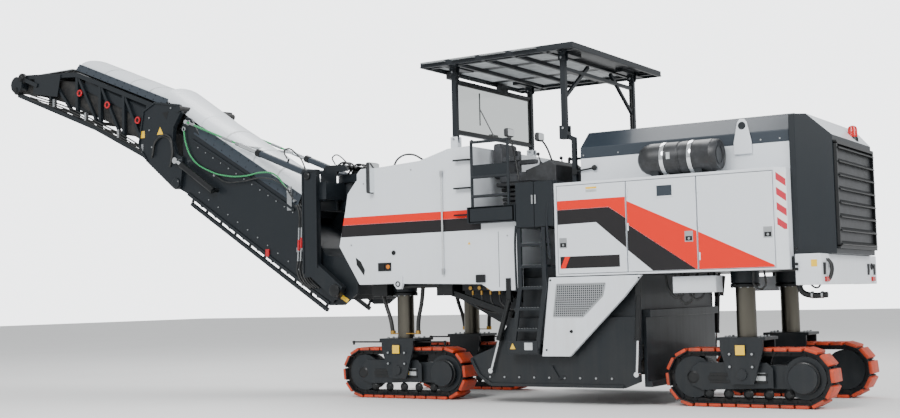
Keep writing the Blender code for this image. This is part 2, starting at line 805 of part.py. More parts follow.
def skirt():
    """The white panel below the front door, with its lower part reaching down to the side plate."""
    outer = SIDE_BOX_HALF
    panel = slab(
        "Y",
        outer - 0.05,
        outer,
        [
            (-2.16, 0.53),
            (-1.82, 0.53),
            (-1.16, 1.16),
            (-0.95, DECK_BOTTOM - 0.01),
            (-2.05, DECK_BOTTOM - 0.01),
        ],
    )
    bracket = box((-1.95, HOUSING_HALF + GAP, DECK_BOTTOM - 0.13), (-1.15, outer - 0.02, DECK_BOTTOM - 0.01))
    return [panel, bracket]


for side, sign in SIDES.items():
    pieces = skirt()
    if sign < 0:
        pieces = [mirrored(piece) for piece in pieces]
    node(f"{side}_step_skirt", "chassis", WHITE, pieces)

# ----------------------------------------------------------------------------- belt conveyors


def primary_conveyor():
    """The covered belt trough that climbs from the drum to the front of the machine."""
    half = TUNNEL_HALF - 0.11
    trough = slab(
        "Y",
        -half,
        half,
        [
            (HOUSING_FRONT - 0.03, 0.56),
            (SLEW_X + 0.52, 1.92),
            (SLEW_X + 0.38, 2.06),
            (SLEW_X + 0.42, 2.22),
            (SLEW_X + 0.56, 2.28),
            (HOUSING_FRONT - 0.03, 0.96),
        ],
    )
    flange = box(
        (HOUSING_FRONT - 0.035, -0.62, 0.46), (HOUSING_FRONT - GAP, 0.62, DECK_BOTTOM - 0.12)
    )
    carrier = box(
        (FRAME_FRONT + 0.15, -TUNNEL_HALF + GAP, DECK_BOTTOM + 0.02), (FRAME_FRONT + 0.25, TUNNEL_HALF - GAP, DECK_TOP + 0.12)
    )
    return [trough, flange, carrier]


node("primary_conveyor", "chassis", CHARCOAL, primary_conveyor())


def slew_bracket():
    """The fixed head on the front of the hull: two jaws that hold the mast between them."""
    neck = box((SLEW_X + 0.36, -BRACKET_HALF, 2.39), (FRAME_FRONT, BRACKET_HALF, 2.85))
    jaws = []
    for low, high in ((2.39, BRACKET_LOW), (BRACKET_TOP, 2.85)):
        rim = arc((SLEW_X, 0), 0.20, 90, 270, 8)
        jaws.append(slab("Z", low, high, [(SLEW_X + 0.62, BRACKET_HALF), *rim, (SLEW_X + 0.62, -BRACKET_HALF)]))
    return [neck, *jaws]


node("slew_bracket", "chassis", CHARCOAL, slew_bracket())


def mast():
    """A portal that turns between the jaws, with the lift hinge on arms below its posts."""
    inner = MAST_HALF - MAST_POST
    posts = both(box((MAST_FRONT, inner, 1.50), (MAST_FRONT + 0.22, MAST_HALF, MAST_TOP)))
    beam = box(
        (MAST_FRONT, -inner - 0.02, BRACKET_LOW + 0.006), (SLEW_X, inner + 0.02, BRACKET_TOP - 0.006)
    )
    boss = rod((SLEW_X, 0, BRACKET_LOW + GAP), (SLEW_X, 0, BRACKET_TOP - GAP), 0.16, sides=20)
    arm_y = MAST_HALF - MAST_POST / 2
    arms = both(
        bar((MAST_FRONT + 0.12, arm_y, 1.62), (LIFT_X + 0.06, arm_y, LIFT_Z - 0.04), 0.20, MAST_POST)
    )
    top_pins = both(
        rod((LIFT_CYL_X, LIFT_Y - 0.03, LIFT_CYL_Z), (LIFT_CYL_X, inner + 0.02, LIFT_CYL_Z), 0.03, 12)
    )
    low_pins = both(
        rod((LIFT_X, CONVEYOR_HALF + GAP, LIFT_Z), (LIFT_X, inner + 0.02, LIFT_Z), 0.06)
    )
    return [beam, *posts, boss, *arms, *top_pins, *low_pins]


LIFT_Y = MAST_HALF - MAST_POST - 0.05  # the lines of the lift cylinders beside the posts
node("slewing_mast", "mast", CHARCOAL, mast())


def crowned_cover(length, rise, start, slope):
    """A barrel-shaped cover over the belt, from its start down a slope in degrees."""
    half = BELT_HALF + 0.03
    crown = [(y, rise * z / half) for y, z in arc((0, 0), half, 0, 180, 8)]
    made = slab("X", 0, length, [*crown, (-half, -0.14), (half, -0.14)])
    lean = Matrix.Rotation(math.radians(slope), 4, "Y")
    made.data.transform(Matrix.Translation((start[0], 0, start[1])) @ lean)
    return made


def lower_conveyor():
    """Side plates, a belt deck, a crowned cover and the hopper at the foot."""
    inner = CONVEYOR_HALF - 0.03
    side = [
        (SLEW_X + 0.42, 1.28),
        (SLEW_X + 0.20, 1.13),
        (SLEW_X - 0.04, 1.13),
        (SLEW_X - 2.58, 2.76),
        *reversed(arc((FOLD_X, FOLD_Z), 0.075, 100, 270, 8)),
        (SLEW_X - 2.62, 3.12),
        (SLEW_X - 2.62, 3.74),
        (SLEW_X - 2.56, 3.84),
        (SLEW_X - 2.46, 3.80),
        (SLEW_X - 2.30, 3.54),
        (SLEW_X - 0.58, 2.50),
        (SLEW_X - 0.30, 2.06),
        (SLEW_X - 0.08, 1.78),
        (SLEW_X + 0.42, 1.72),
    ]
    sides = both(slab("Y", inner, CONVEYOR_HALF, side))
    deck = slab(
        "Y",
        -inner - 0.01,
        inner + 0.01,
        [(SLEW_X + 0.32, 1.20), (SLEW_X + 0.02, 1.20), (SLEW_X - 2.56, 2.98), (SLEW_X - 2.56, 3.44), (SLEW_X - 0.18, 1.88), (SLEW_X + 0.32, 1.42)],
    )
    back = slab("Y", -inner - 0.012, inner + 0.012, rectangle(SLEW_X + 0.38, 1.26, SLEW_X + 0.41, 1.70))
    cover = crowned_cover(2.14, 0.26, (SLEW_X - 2.48, 3.50), 29.5)
    pins = both(rod((FOLD_X, inner + 0.01, FOLD_Z), (FOLD_X, FOLD_CHEEK, FOLD_Z), 0.04))
    return [*sides, deck, back, cover, *pins]


node("lower_conveyor_frame", "lower_conveyor", CHARCOAL, lower_conveyor())


def upper_conveyor():
    """An open lattice with the belt on top, its cover, and the plates of the fold hinge."""
    low = [(SLEW_X - 2.88, 2.99), (SLEW_X - 3.43, 3.37), (SLEW_X - 4.40, 3.84), (SLEW_X - 6.17, 4.53)]
    high = [(SLEW_X - 3.10, 4.02), (SLEW_X - 4.83, 4.70), (SLEW_X - 6.12, 4.80)]
    y = CONVEYOR_HALF - 0.03
    chord, lace, brace, tie = 0.07, 0.052, 0.042, 0.046
    members = []
    for line in (low, high):
        under = [(x, z - chord / 2) for x, z in line]
        over = [(x, z + chord / 2) for x, z in reversed(line)]
        members += both(slab("Y", y - chord / 2, y + chord / 2, [*under, *over]))

    def on(line, x):
        for (x0, z0), (x1, z1) in zip(line, line[1:]):
            if x1 <= x <= x0:
                return z0 + (z1 - z0) * (x - x0) / (x1 - x0)
        return line[-1][1]

    stations = [SLEW_X - x for x in (3.33, 3.83, 4.33, 4.83, 5.43)]
    for x in stations:
        members += both(bar((x, y, on(low, x)), (x, y, on(high, x)), lace, lace))
    for fore, aft in zip(stations, stations[1:]):
        members += both(bar((fore, y, on(low, fore)), (aft, y, on(high, aft)), brace, brace))
    ties = [bar((x, -y, on(low, x)), (x, y, on(low, x)), tie, tie) for x in stations]
    beams = [bar((x, -y, on(high, x)), (x, y, on(high, x)), tie, tie) for x in stations]
    belt = slab(
        "Y",
        -BELT_HALF,
        BELT_HALF,
        [
            (SLEW_X - 2.83, 3.62),
            (SLEW_X - 3.00, 3.34),
            (SLEW_X - 4.78, 4.20),
            (SLEW_X - 6.10, 4.58),
            (SLEW_X - 6.22, 4.66),
            (SLEW_X - 6.12, 4.78),
            (SLEW_X - 4.83, 4.60),
            (SLEW_X - 3.08, 3.86),
        ],
    )
    axle = rod((TIP_X + 0.14, -CONVEYOR_HALF - 0.06, 4.68), (TIP_X + 0.14, CONVEYOR_HALF + 0.06, 4.68), 0.13)
    cover = crowned_cover(1.75, 0.20, (SLEW_X - 4.68, 4.60), 24.5)
    cheek = [
        (SLEW_X - 2.60, 3.90),
        (SLEW_X - 2.64, 4.02),
        (SLEW_X - 3.12, 4.10),
        (SLEW_X - 3.36, 4.00),
        (SLEW_X - 3.46, 3.50),
        (SLEW_X - 3.28, 3.24),
        *arc((FOLD_X, FOLD_Z), 0.09, 225, 360, 5),
        (SLEW_X - 2.59, 3.12),
        (SLEW_X - 2.59, 3.26),
        (SLEW_X - 2.70, 3.32),
        (SLEW_X - 2.76, 3.50),
        (SLEW_X - 2.74, 3.70),
    ]
    cheeks = both(slab("Y", CONVEYOR_HALF + GAP, FOLD_CHEEK, cheek))
    knob = FOLD_CHEEK + 0.02
    cross = rod((SLEW_X - 2.65, -knob, 3.95), (SLEW_X - 2.65, knob, 3.95), 0.05)
    bores = both(
        rod((FOLD_X, CONVEYOR_HALF - 0.01, FOLD_Z), (FOLD_X, FOLD_CHEEK + 0.1, FOLD_Z), bore_radius(0.04, 16))
    )
    return [belt, *members, *ties, *beams, axle, cover, *cheeks, cross], bores


node("upper_conveyor_frame", "upper_conveyor", CHARCOAL, *upper_conveyor())


def stay_point(share, y):
    start = Vector((LIFT_CYL_X, y, LIFT_CYL_Z))
    end = Vector((STAY_X, y, STAY_Z))
    return start + (end - start) * share


def lift_barrels():
    tubes = both(rod(stay_point(0.0, LIFT_Y), stay_point(0.42, LIFT_Y), 0.045))
    eyes = both(
        rod(
            (LIFT_CYL_X, LIFT_Y - 0.03, LIFT_CYL_Z), (LIFT_CYL_X, MAST_HALF - MAST_POST - GAP, LIFT_CYL_Z), 0.065
        )
    )
    tie = rod(stay_point(0.12, -LIFT_Y), stay_point(0.12, LIFT_Y), 0.03)
    bores = both(
        rod(stay_point(0.035, LIFT_Y), stay_point(0.5, LIFT_Y), 0.03),
        rod((LIFT_CYL_X, 0.3, LIFT_CYL_Z), (LIFT_CYL_X, 0.8, LIFT_CYL_Z), bore_radius(0.03, 12), 12),
    )
    return [*tubes, *eyes, tie], bores


node("lift_cylinder_barrels", "lift_cylinders", CHARCOAL, *lift_barrels())


def lift_rods():
    """Chromed rods with the stays that run on to the lugs of the lower conveyor."""
    rods = both(rod(stay_point(0.08, LIFT_Y), stay_point(0.56, LIFT_Y), 0.03 - RUN))
    stays = both(rod(stay_point(0.55, LIFT_Y), stay_point(1.0, LIFT_Y), 0.014, sides=8))
    tie = rod(stay_point(0.53, -LIFT_Y), stay_point(0.53, LIFT_Y), 0.02, sides=10)
    eyes = both(rod((STAY_X, CONVEYOR_HALF + GAP, STAY_Z), (STAY_X, LIFT_Y + 0.02, STAY_Z), 0.03, 12))
    return [*rods, *stays, tie, *eyes]


node("lift_cylinder_rods", "lift_rods", STEEL, lift_rods())


def fold_point(share, y):
    start = Vector((FOLD_BASE_X, y, FOLD_BASE_Z))
    end = Vector((FOLD_EYE_X, y, FOLD_EYE_Z))
    return start + (end - start) * share


FOLD_Y = CONVEYOR_HALF + 0.11


for side, sign in SIDES.items():
    barrel = rod(fold_point(0.0, sign * FOLD_Y), fold_point(0.86, sign * FOLD_Y), 0.045)
    trunnion = rod(
        fold_point(0.03, sign * FOLD_Y), fold_point(0.03, sign * (CONVEYOR_HALF + GAP)), 0.03, sides=10
    )
    bore = rod(fold_point(0.06, sign * FOLD_Y), fold_point(1.0, sign * FOLD_Y), 0.025)
    node(f"{side}_fold_barrel", "fold_cylinders", CHARCOAL, [barrel, trunnion], [bore])
    piston = rod(fold_point(0.10, sign * FOLD_Y), fold_point(1.0, sign * FOLD_Y), 0.025 - RUN)
    eye = rod(
        fold_point(1.0, sign * (FOLD_CHEEK + GAP)), fold_point(1.0, sign * (FOLD_Y + 0.035)), 0.045
    )
    node(f"{side}_fold_rod", "fold_rods", STEEL, [piston, eye])

# ------------------------------------------------------------------------ operator's platform

RAIL_TOP = 2.98
RAIL_RADIUS = 0.018
RAIL_FRONT, RAIL_REAR = -3.01, -2.53


CABINET_FRONT = HULL_REAR + GAP
CABINET_INNER = 0.75
CABINET_OUTER = 1.22
CABINET_BOTTOM = 1.95
CABINET_TOP = 2.46


def platform():
    """Floor, toe boards and the handrails of both side openings as one welded piece."""
    floor = box(
        (HULL_STEP_X + GAP, -PLATFORM_HALF, PLATFORM_TOP - PLATFORM_DEPTH),
        (CABINET_FRONT - GAP, PLATFORM_HALF, PLATFORM_TOP),
    )
    bay = box(
        (CABINET_FRONT - 0.05, -CABINET_INNER + GAP, PLATFORM_TOP - PLATFORM_DEPTH),
        (BODY_FRONT - GAP, PLATFORM_HALF, PLATFORM_TOP),
    )
    rails = []
    for rail_x in (RAIL_FRONT, RAIL_REAR):
        rails += both(
            rod(
                (rail_x, PLATFORM_HALF - 0.03, PLATFORM_TOP - 0.02),
                (rail_x, PLATFORM_HALF - 0.03, RAIL_TOP),
                RAIL_RADIUS,
                sides=8,
            )
        )
    for rail_z in (RAIL_TOP - RAIL_RADIUS, 2.56, 2.34):
        rails += both(
            rod(
                (RAIL_FRONT, PLATFORM_HALF - 0.03, rail_z),
                (RAIL_REAR, PLATFORM_HALF - 0.03, rail_z),
                RAIL_RADIUS,
                sides=8,
            )
        )
    board = both(
        box(
            (RAIL_FRONT - 0.01, PLATFORM_HALF - 0.04, 2.56),
            (RAIL_REAR + 0.01, PLATFORM_HALF - 0.02, 2.70),
        )
    )
    return [floor, bay, *rails, *board]


node("operator_platform", "chassis", CHARCOAL, platform())

seat_foot = box((-2.98, -0.62, PLATFORM_TOP + GAP), (-2.72, -0.32, PLATFORM_TOP + 0.32))
seat_pad = box((-3.00, -0.72, PLATFORM_TOP + 0.30), (-2.52, -0.24, PLATFORM_TOP + 0.42))
seat_back = box((-3.03, -0.72, PLATFORM_TOP + 0.30), (-2.94, -0.24, PLATFORM_TOP + 0.78))
node("operator_seat", "chassis", VINYL, [seat_foot, seat_pad, seat_back])

desk = slab(
    "Y", -0.98, -0.30, [(-2.44, 2.50), (-2.05, 2.46), (-2.05, 2.66), (-2.12, 2.72), (-2.44, 2.62)]
)
desk_leg = box((-2.30, -0.70, PLATFORM_TOP + GAP), (-2.10, -0.40, 2.52))
node("control_console", "chassis", BLACK, [desk, desk_leg])

shell = box(
    (CABINET_FRONT, -CABINET_OUTER, CABINET_BOTTOM), (BODY_FRONT - GAP, -CABINET_INNER, CABINET_TOP)
)
hollow = box(
    (CABINET_FRONT + 0.02, -CABINET_OUTER - 0.1, CABINET_BOTTOM + 0.02),
    (BODY_FRONT - GAP - 0.02, -CABINET_INNER - 0.02, CABINET_TOP - 0.02),
)
node("equipment_cabinet", "chassis", CHARCOAL, [shell], [hollow])
CABINET_MIDDLE = (CABINET_FRONT + BODY_FRONT) / 2
CABINET_FACE = CABINET_OUTER + RUN + 0.022
for name, hinge_x, edge_x in (
    ("fore", CABINET_FRONT + CLEAR, CABINET_MIDDLE - CLEAR / 2),
    ("aft", BODY_FRONT - GAP - CLEAR, CABINET_MIDDLE + CLEAR / 2),
):
    body(f"cabinet_{name}_door", "chassis", (hinge_x, -CABINET_FACE, CABINET_BOTTOM))
    leaf = box(
        (hinge_x, -CABINET_OUTER - RUN, CABINET_BOTTOM + CLEAR),
        (edge_x, -CABINET_FACE, CABINET_TOP - CLEAR),
    )
    node(f"cabinet_{name}_door_panel", f"cabinet_{name}_door", CHARCOAL, [leaf])


def ladder(head):
    """Steps in the recess behind the hull, with the lower treads hung further forward."""
    outer = PLATFORM_HALF
    inner = SIDE_BOX_HALF + GAP
    middle = (outer + inner) / 2
    stiles = []
    for x in (-2.40, -2.09):
        stiles += [
            bar((x, middle, head), (x, middle, 1.28), 0.05, outer - inner),
            bar((x, middle, 1.29), (x - 0.11, middle, 0.62), 0.05, outer - inner),
        ]
    treads = [
        box((-2.42, 1.10, z - 0.015), (-2.085, outer, z + 0.015)) for z in (1.76, 1.52, 1.28)
    ]
    low_treads = [
        box((-2.45 - shift, 1.16, z - 0.015), (-2.12 - shift, outer, z + 0.015))
        for z, shift in ((1.05, 0.035), (0.82, 0.07))
    ]
    shoe = box((-2.58, 1.13, 0.55), (-2.19, outer, 0.66))
    return [*stiles, *treads, *low_treads, shoe]


left_ladder = [mirrored(piece) for piece in ladder(CABINET_BOTTOM - GAP)]
node("left_ladder", "chassis", CHARCOAL, left_ladder)
node("right_ladder", "chassis", CHARCOAL, ladder(PLATFORM_TOP - PLATFORM_DEPTH - GAP))

# ------------------------------------------------------------------------------------- canopy

ROOF_BOTTOM = CANOPY_TOP - CANOPY_EDGE


def post_pair(x):
    """Two posts with round ends on their hinges."""
    half = POST_SIZE / 2
    posts = [bar((x, POST_HALF, POST_FOOT_Z), (x, POST_HALF, POST_HEAD_Z), POST_SIZE, POST_SIZE)]
    for z in (POST_FOOT_Z, POST_HEAD_Z):
        posts.append(rod((x, POST_HALF - half, z), (x, POST_HALF + half, z), half, sides=12))
    return both(*posts)


SCREEN_LOW = 3.14
SCREEN_HIGH = POST_HEAD_Z - 0.10  # its rail swings past the cheeks of the head hinge
SCREEN_RAIL = 0.05


def front_posts():
    rails = [
        bar((POST_FRONT_X, -POST_HALF, z), (POST_FRONT_X, POST_HALF, z), 0.035, SCREEN_RAIL)
        for z in (SCREEN_LOW, SCREEN_HIGH)
    ]
    return [*post_pair(POST_FRONT_X), *rails]


def rear_posts():
    x = POST_REAR_X
    cross = bar((x, -POST_HALF, 3.74), (x, POST_HALF, 3.74), 0.04, 0.04)
    braces = both(bar((x, POST_HALF, 3.40), (x, 0.30, 3.84), 0.035, 0.035))
    return [*post_pair(x), cross, *braces]


node("canopy_front_posts", "canopy_front", CHARCOAL, front_posts())
node("canopy_rear_posts", "canopy_rear", CHARCOAL, rear_posts())
glass_half = POST_HALF - POST_SIZE / 2 - RUN
glass_inset = SCREEN_RAIL / 2 + RUN
glass = box(
    (POST_FRONT_X - 0.004, -glass_half, SCREEN_LOW + glass_inset),
    (POST_FRONT_X + 0.004, glass_half, SCREEN_HIGH - glass_inset),
)
node("windscreen", "canopy_front", GLASS, [glass])


def canopy_roof():
    """A flat lid with a turned-down rim and ribs beneath."""
    sheet = box((CANOPY_FRONT, -CANOPY_HALF, CANOPY_TOP - 0.02), (CANOPY_REAR, CANOPY_HALF, CANOPY_TOP))
    rim = slab(
        "Z",
        ROOF_BOTTOM,
        CANOPY_TOP - 0.01,
        rectangle(CANOPY_FRONT, -CANOPY_HALF, CANOPY_REAR, CANOPY_HALF),
        rectangle(
            CANOPY_FRONT + 0.03, -CANOPY_HALF + 0.03, CANOPY_REAR - 0.03, CANOPY_HALF - 0.03
        ),
    )
    length = CANOPY_REAR - CANOPY_FRONT
    ribs = [
        box((x - 0.02, -CANOPY_HALF, ROOF_BOTTOM + 0.01), (x + 0.02, CANOPY_HALF, CANOPY_TOP - 0.01))
        for x in [CANOPY_FRONT + length * i / 5 for i in range(1, 5)]
    ]
    inner = POST_SIZE / 2 + GAP
    lugs = []
    for x in (POST_FRONT_X, POST_REAR_X):
        for side in (-1, 1):
            start = POST_HALF + side * inner
            lugs += both(
                box(
                    (x - 0.04, start, POST_HEAD_Z - 0.03),
                    (x + 0.04, start + side * CHEEK, CANOPY_TOP - 0.01),
                )
            )
            lugs += both(
                box(
                    (x - 0.05, start, ROOF_BOTTOM + 0.005),
                    (x + 0.05, min(start + side * 0.33, CANOPY_HALF), CANOPY_TOP - 0.01),
                )
            )
    return [sheet, rim, *ribs, *lugs]


node("canopy_roof_panel", "canopy_roof", SLATE, canopy_roof())


for side, sign in SIDES.items():
    column = bar((-1.84, POST_HALF, SIDE_BOX_TOP + GAP), (-1.84, POST_HALF, 2.95), 0.05, 0.05)
    knee = bar((-1.84, POST_HALF, 2.93), (POST_REAR_X, POST_HALF, 2.98), 0.05, 0.05)
    pieces = [column, knee, *post_feet(POST_REAR_X, 2.94)[:3]]
    if sign < 0:
        pieces = [mirrored(piece) for piece in pieces]
    node(f"{side}_canopy_foot", "chassis", CHARCOAL, pieces)

CLEANER_RADIUS = 0.17
CLEANER_Y = -(BODY_HALF + 0.005 + CLEANER_RADIUS)
CLEANER_Z = SIDE_BOX_TOP + 0.012 + CLEANER_RADIUS
cleaner = rod((-0.97, CLEANER_Y, CLEANER_Z), (-0.07, CLEANER_Y, CLEANER_Z), CLEANER_RADIUS, sides=24)
saddles = [
    box((x, CLEANER_Y - 0.10, SIDE_BOX_TOP + GAP), (x + 0.08, CLEANER_Y + 0.10, CLEANER_Z - 0.05))
    for x in (-0.80, -0.32)
]
node("air_cleaner", "chassis", BLACK, [cleaner, *saddles])

# ------------------------------------------------------------- the origin below the middle

FOREMOST = TIP_X
REARMOST = max(COWL_REAR, SPROCKET_REACH + TRACK_HEIGHT / 2)
bodies["chassis"][0].location.x = -(FOREMOST + REARMOST) / 2
bpy.data.collections.remove(workshop)
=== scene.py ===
"""Looks of a cold planer: its coats of enamel, rubber and steel, and the small fittings on its frame.

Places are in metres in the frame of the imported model: X runs to the machine's rear, its left side is
at -Y and the ground is Z = 0. Most are given from the axis of the rear legs, as at(x, y, z).
"""

import json
import math

import bmesh
import bpy
from mathutils import Matrix, Vector
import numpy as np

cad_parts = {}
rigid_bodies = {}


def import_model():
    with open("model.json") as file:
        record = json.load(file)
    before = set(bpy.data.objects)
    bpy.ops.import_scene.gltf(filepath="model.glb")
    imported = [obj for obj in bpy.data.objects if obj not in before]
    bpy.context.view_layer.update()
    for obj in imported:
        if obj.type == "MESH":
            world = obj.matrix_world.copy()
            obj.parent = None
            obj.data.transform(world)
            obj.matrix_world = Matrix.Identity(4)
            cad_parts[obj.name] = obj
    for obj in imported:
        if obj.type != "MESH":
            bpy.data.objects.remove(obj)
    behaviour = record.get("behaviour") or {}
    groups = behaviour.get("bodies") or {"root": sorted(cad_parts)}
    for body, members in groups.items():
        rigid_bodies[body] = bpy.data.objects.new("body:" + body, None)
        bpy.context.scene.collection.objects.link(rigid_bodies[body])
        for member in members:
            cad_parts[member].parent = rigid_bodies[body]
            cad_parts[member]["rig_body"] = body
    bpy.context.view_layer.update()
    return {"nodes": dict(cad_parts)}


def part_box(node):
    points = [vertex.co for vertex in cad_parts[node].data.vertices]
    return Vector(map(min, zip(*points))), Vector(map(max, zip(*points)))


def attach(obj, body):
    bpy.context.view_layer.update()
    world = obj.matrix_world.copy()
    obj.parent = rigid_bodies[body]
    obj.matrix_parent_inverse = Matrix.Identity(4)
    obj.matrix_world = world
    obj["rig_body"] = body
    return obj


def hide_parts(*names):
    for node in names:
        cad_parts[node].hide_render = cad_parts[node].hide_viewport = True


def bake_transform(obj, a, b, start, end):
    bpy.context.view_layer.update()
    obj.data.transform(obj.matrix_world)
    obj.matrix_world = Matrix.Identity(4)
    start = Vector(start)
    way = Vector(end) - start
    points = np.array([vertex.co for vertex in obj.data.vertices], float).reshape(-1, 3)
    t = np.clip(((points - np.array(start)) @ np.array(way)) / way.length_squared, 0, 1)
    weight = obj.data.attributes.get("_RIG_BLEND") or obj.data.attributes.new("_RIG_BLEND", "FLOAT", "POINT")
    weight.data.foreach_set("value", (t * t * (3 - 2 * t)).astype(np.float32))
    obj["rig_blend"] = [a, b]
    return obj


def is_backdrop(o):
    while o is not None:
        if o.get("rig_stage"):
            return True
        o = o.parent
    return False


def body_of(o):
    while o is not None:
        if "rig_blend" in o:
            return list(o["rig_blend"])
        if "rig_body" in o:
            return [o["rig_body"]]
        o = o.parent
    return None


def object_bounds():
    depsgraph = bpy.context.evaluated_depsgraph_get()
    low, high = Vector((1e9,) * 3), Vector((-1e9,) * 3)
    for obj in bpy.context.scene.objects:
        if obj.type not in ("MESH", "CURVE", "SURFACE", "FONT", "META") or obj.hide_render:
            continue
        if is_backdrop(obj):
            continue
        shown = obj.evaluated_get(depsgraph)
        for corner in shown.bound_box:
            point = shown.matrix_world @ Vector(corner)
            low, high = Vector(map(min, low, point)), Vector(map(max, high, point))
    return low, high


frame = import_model()

# ------------------------------------------------------------------- places taken from the frame


def middle(node):
    low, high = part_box(node)
    return (low + high) / 2


AXLE_X = middle("rear_left_leg_tube").x


def at(x, y, z):
    """A place from the rear legs' axis (X), the middle plane (Y) and the ground (Z)."""
    return Vector((AXLE_X + x, y, z))


HULL_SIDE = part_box("front_hull")[1].y
POD_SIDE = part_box("right_front_door_panel")[1].y
BODY_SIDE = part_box("engine_hood")[1].y
ROOF_LOW, ROOF_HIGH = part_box("canopy_roof_panel")
PLATE_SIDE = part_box("right_side_plate_skid")[1].y
CONVEYOR_SIDE = 0.50  # outer faces of the lower conveyor's side plates
FOLD_SIDE = 0.55  # outer faces of the fold plates
THIN = 0.0015  # thickness of films and plates that lie on a panel
SIDES = {"left": -1, "right": 1}

# ------------------------------------------------------------------------------------- finishes


def linear(code):
    """An sRGB hex colour as linear RGBA."""
    parts = [int(code[i : i + 2], 16) / 255 for i in (1, 3, 5)]
    return (*(p / 12.92 if p <= 0.04045 else ((p + 0.055) / 1.055) ** 2.4 for p in parts), 1.0)


def add(tree, kind, links=(), **values):
    """Adds a node with its values and the sockets that feed it. A socket's name may use _ for a space."""
    made = tree.nodes.new("ShaderNode" + kind)
    for name, value in values.items():
        if hasattr(made, name):
            setattr(made, name, value)
        else:
            made.inputs[name.replace("_", " ")].default_value = value
    for socket, source in links:
        tree.links.new(source, made.inputs[socket])
    return made


def finish(name, code, roughness, metallic=0.0, **values):
    """A new material: its node tree, its shader and its Object coordinates."""
    made = bpy.data.materials.new(name)
    made.use_nodes = True
    tree = made.node_tree
    tree.nodes.clear()
    shader = add(tree, "BsdfPrincipled", Roughness=roughness, Metallic=metallic, **values)
    shader.inputs["Base Color"].default_value = linear(code)
    add(tree, "OutputMaterial", [("Surface", shader.outputs["BSDF"])])
    made.diffuse_color = linear(code)
    place = add(tree, "TexCoord").outputs["Object"]
    return made, tree, shader, place


def blend_colours(tree, share, under, over):
    """A mix of two hex colours or sockets, by a share."""
    mixed = add(tree, "Mix", data_type="RGBA")
    for index, colour in ((6, under), (7, over)):
        if isinstance(colour, str):
            mixed.inputs[index].default_value = linear(colour)
        else:
            tree.links.new(colour, mixed.inputs[index])
    tree.links.new(share, mixed.inputs[0])
    return mixed.outputs[2]


def grain(tree, shader, height, distance, strength=1.0):
    """Fine relief from a height socket, in metres of depth."""
    bump = add(tree, "Bump", [("Height", height)], Distance=distance, Strength=strength)
    tree.links.new(bump.outputs["Normal"], shader.inputs["Normal"])


def enamel(name, code, grime, soil=0.30, gloss=0.34, shine=0.5):
    """Two-pack enamel sprayed on steel plate: glossy, with the slight orange peel of the spray gun,
    rain streaks that run down the plates, and road dust that thickens towards the ground."""
    made, tree, shader, place = finish(
        name, code, gloss, Coat_Weight=shine / 2, Coat_Roughness=0.12, Specular_IOR_Level=shine
    )
    blotch = add(tree, "TexNoise", [("Vector", place)], Scale=2.2, Detail=7.0, Roughness=0.6)
    tall = add(tree, "Mapping", [("Vector", place)], Scale=(16.0, 16.0, 0.9))
    streak = add(tree, "TexNoise", [("Vector", tall.outputs["Vector"])], Scale=1.0, Detail=3.0)
    height = add(tree, "SeparateXYZ", [("Vector", place)])
    near_ground = add(
        tree, "MapRange", [("Value", height.outputs["Z"])], From_Min=1.9, From_Max=0.1, To_Min=0.12,
        To_Max=1.0
    )
    patchy = add(tree, "Math", [(0, blotch.outputs["Fac"]), (1, streak.outputs["Fac"])], operation="MULTIPLY")
    rising = add(tree, "MapRange", [("Value", patchy.outputs[0])], From_Min=0.12, From_Max=0.42)
    dirty = add(
        tree, "Math", [(0, rising.outputs["Result"]), (1, near_ground.outputs["Result"])],
        operation="MULTIPLY"
    )
    share = add(tree, "Math", [(0, dirty.outputs[0])], operation="MULTIPLY")
    share.inputs[1].default_value = soil
    colour = blend_colours(tree, share.outputs[0], code, grime)
    tree.links.new(colour, shader.inputs["Base Color"])
    dull = add(
        tree, "MapRange", [("Value", share.outputs[0])], From_Max=0.5, To_Min=gloss, To_Max=gloss + 0.3
    )
    tree.links.new(dull.outputs["Result"], shader.inputs["Roughness"])
    # orange peel is 1 to 3 mm across; it is drawn at 6 mm so that it shows in the gloss
    peel = add(tree, "TexNoise", [("Vector", place)], Scale=160.0, Detail=2.0)
    grain(tree, shader, peel.outputs["Fac"], 0.0004, 0.35)
    return made


def moulded(name, code, light, roughness, pore=0.004, depth=0.0006, metallic=0.0):
    """A moulded or cast skin: an even dull colour, mottled by a second one, with a pored surface."""
    made, tree, shader, place = finish(name, code, roughness, metallic)
    cloud = add(tree, "TexNoise", [("Vector", place)], Scale=9.0, Detail=6.0, Roughness=0.65)
    share = add(tree, "MapRange", [("Value", cloud.outputs["Fac"])], From_Min=0.42, From_Max=0.78)
    colour = blend_colours(tree, share.outputs["Result"], code, light)
    tree.links.new(colour, shader.inputs["Base Color"])
    pores = add(tree, "TexNoise", [("Vector", place)], Scale=1.0 / pore, Detail=3.0)
    grain(tree, shader, pores.outputs["Fac"], depth, 0.6)
    return made


def bright_metal(name, code, roughness, scratch=(1.0, 1.0, 30.0)):
    """Bare metal, ground or drawn: fine scratches run across the long direction of their mapping."""
    made, tree, shader, place = finish(name, code, roughness, 1.0)
    drawn = add(tree, "Mapping", [("Vector", place)], Scale=scratch)
    lines = add(tree, "TexNoise", [("Vector", drawn.outputs["Vector"])], Scale=24.0, Detail=4.0)
    worn = add(
        tree, "MapRange", [("Value", lines.outputs["Fac"])], To_Min=roughness * 0.7, To_Max=roughness * 1.5
    )
    tree.links.new(worn.outputs["Result"], shader.inputs["Roughness"])
    grain(tree, shader, lines.outputs["Fac"], 0.0002, 0.4)
    return made


# cool white machine enamel: bright and clean, greyer where dust lies
WHITE = enamel("white_machine_enamel", "#D9DEE3", "#A39C8E", soil=0.30)
# charcoal-blue enamel of the frame: near black in shade, blue-grey where it catches the light
CHARCOAL = enamel("charcoal_machine_enamel", "#141A1F", "#3F3D39", soil=0.24, gloss=0.42, shine=0.28)
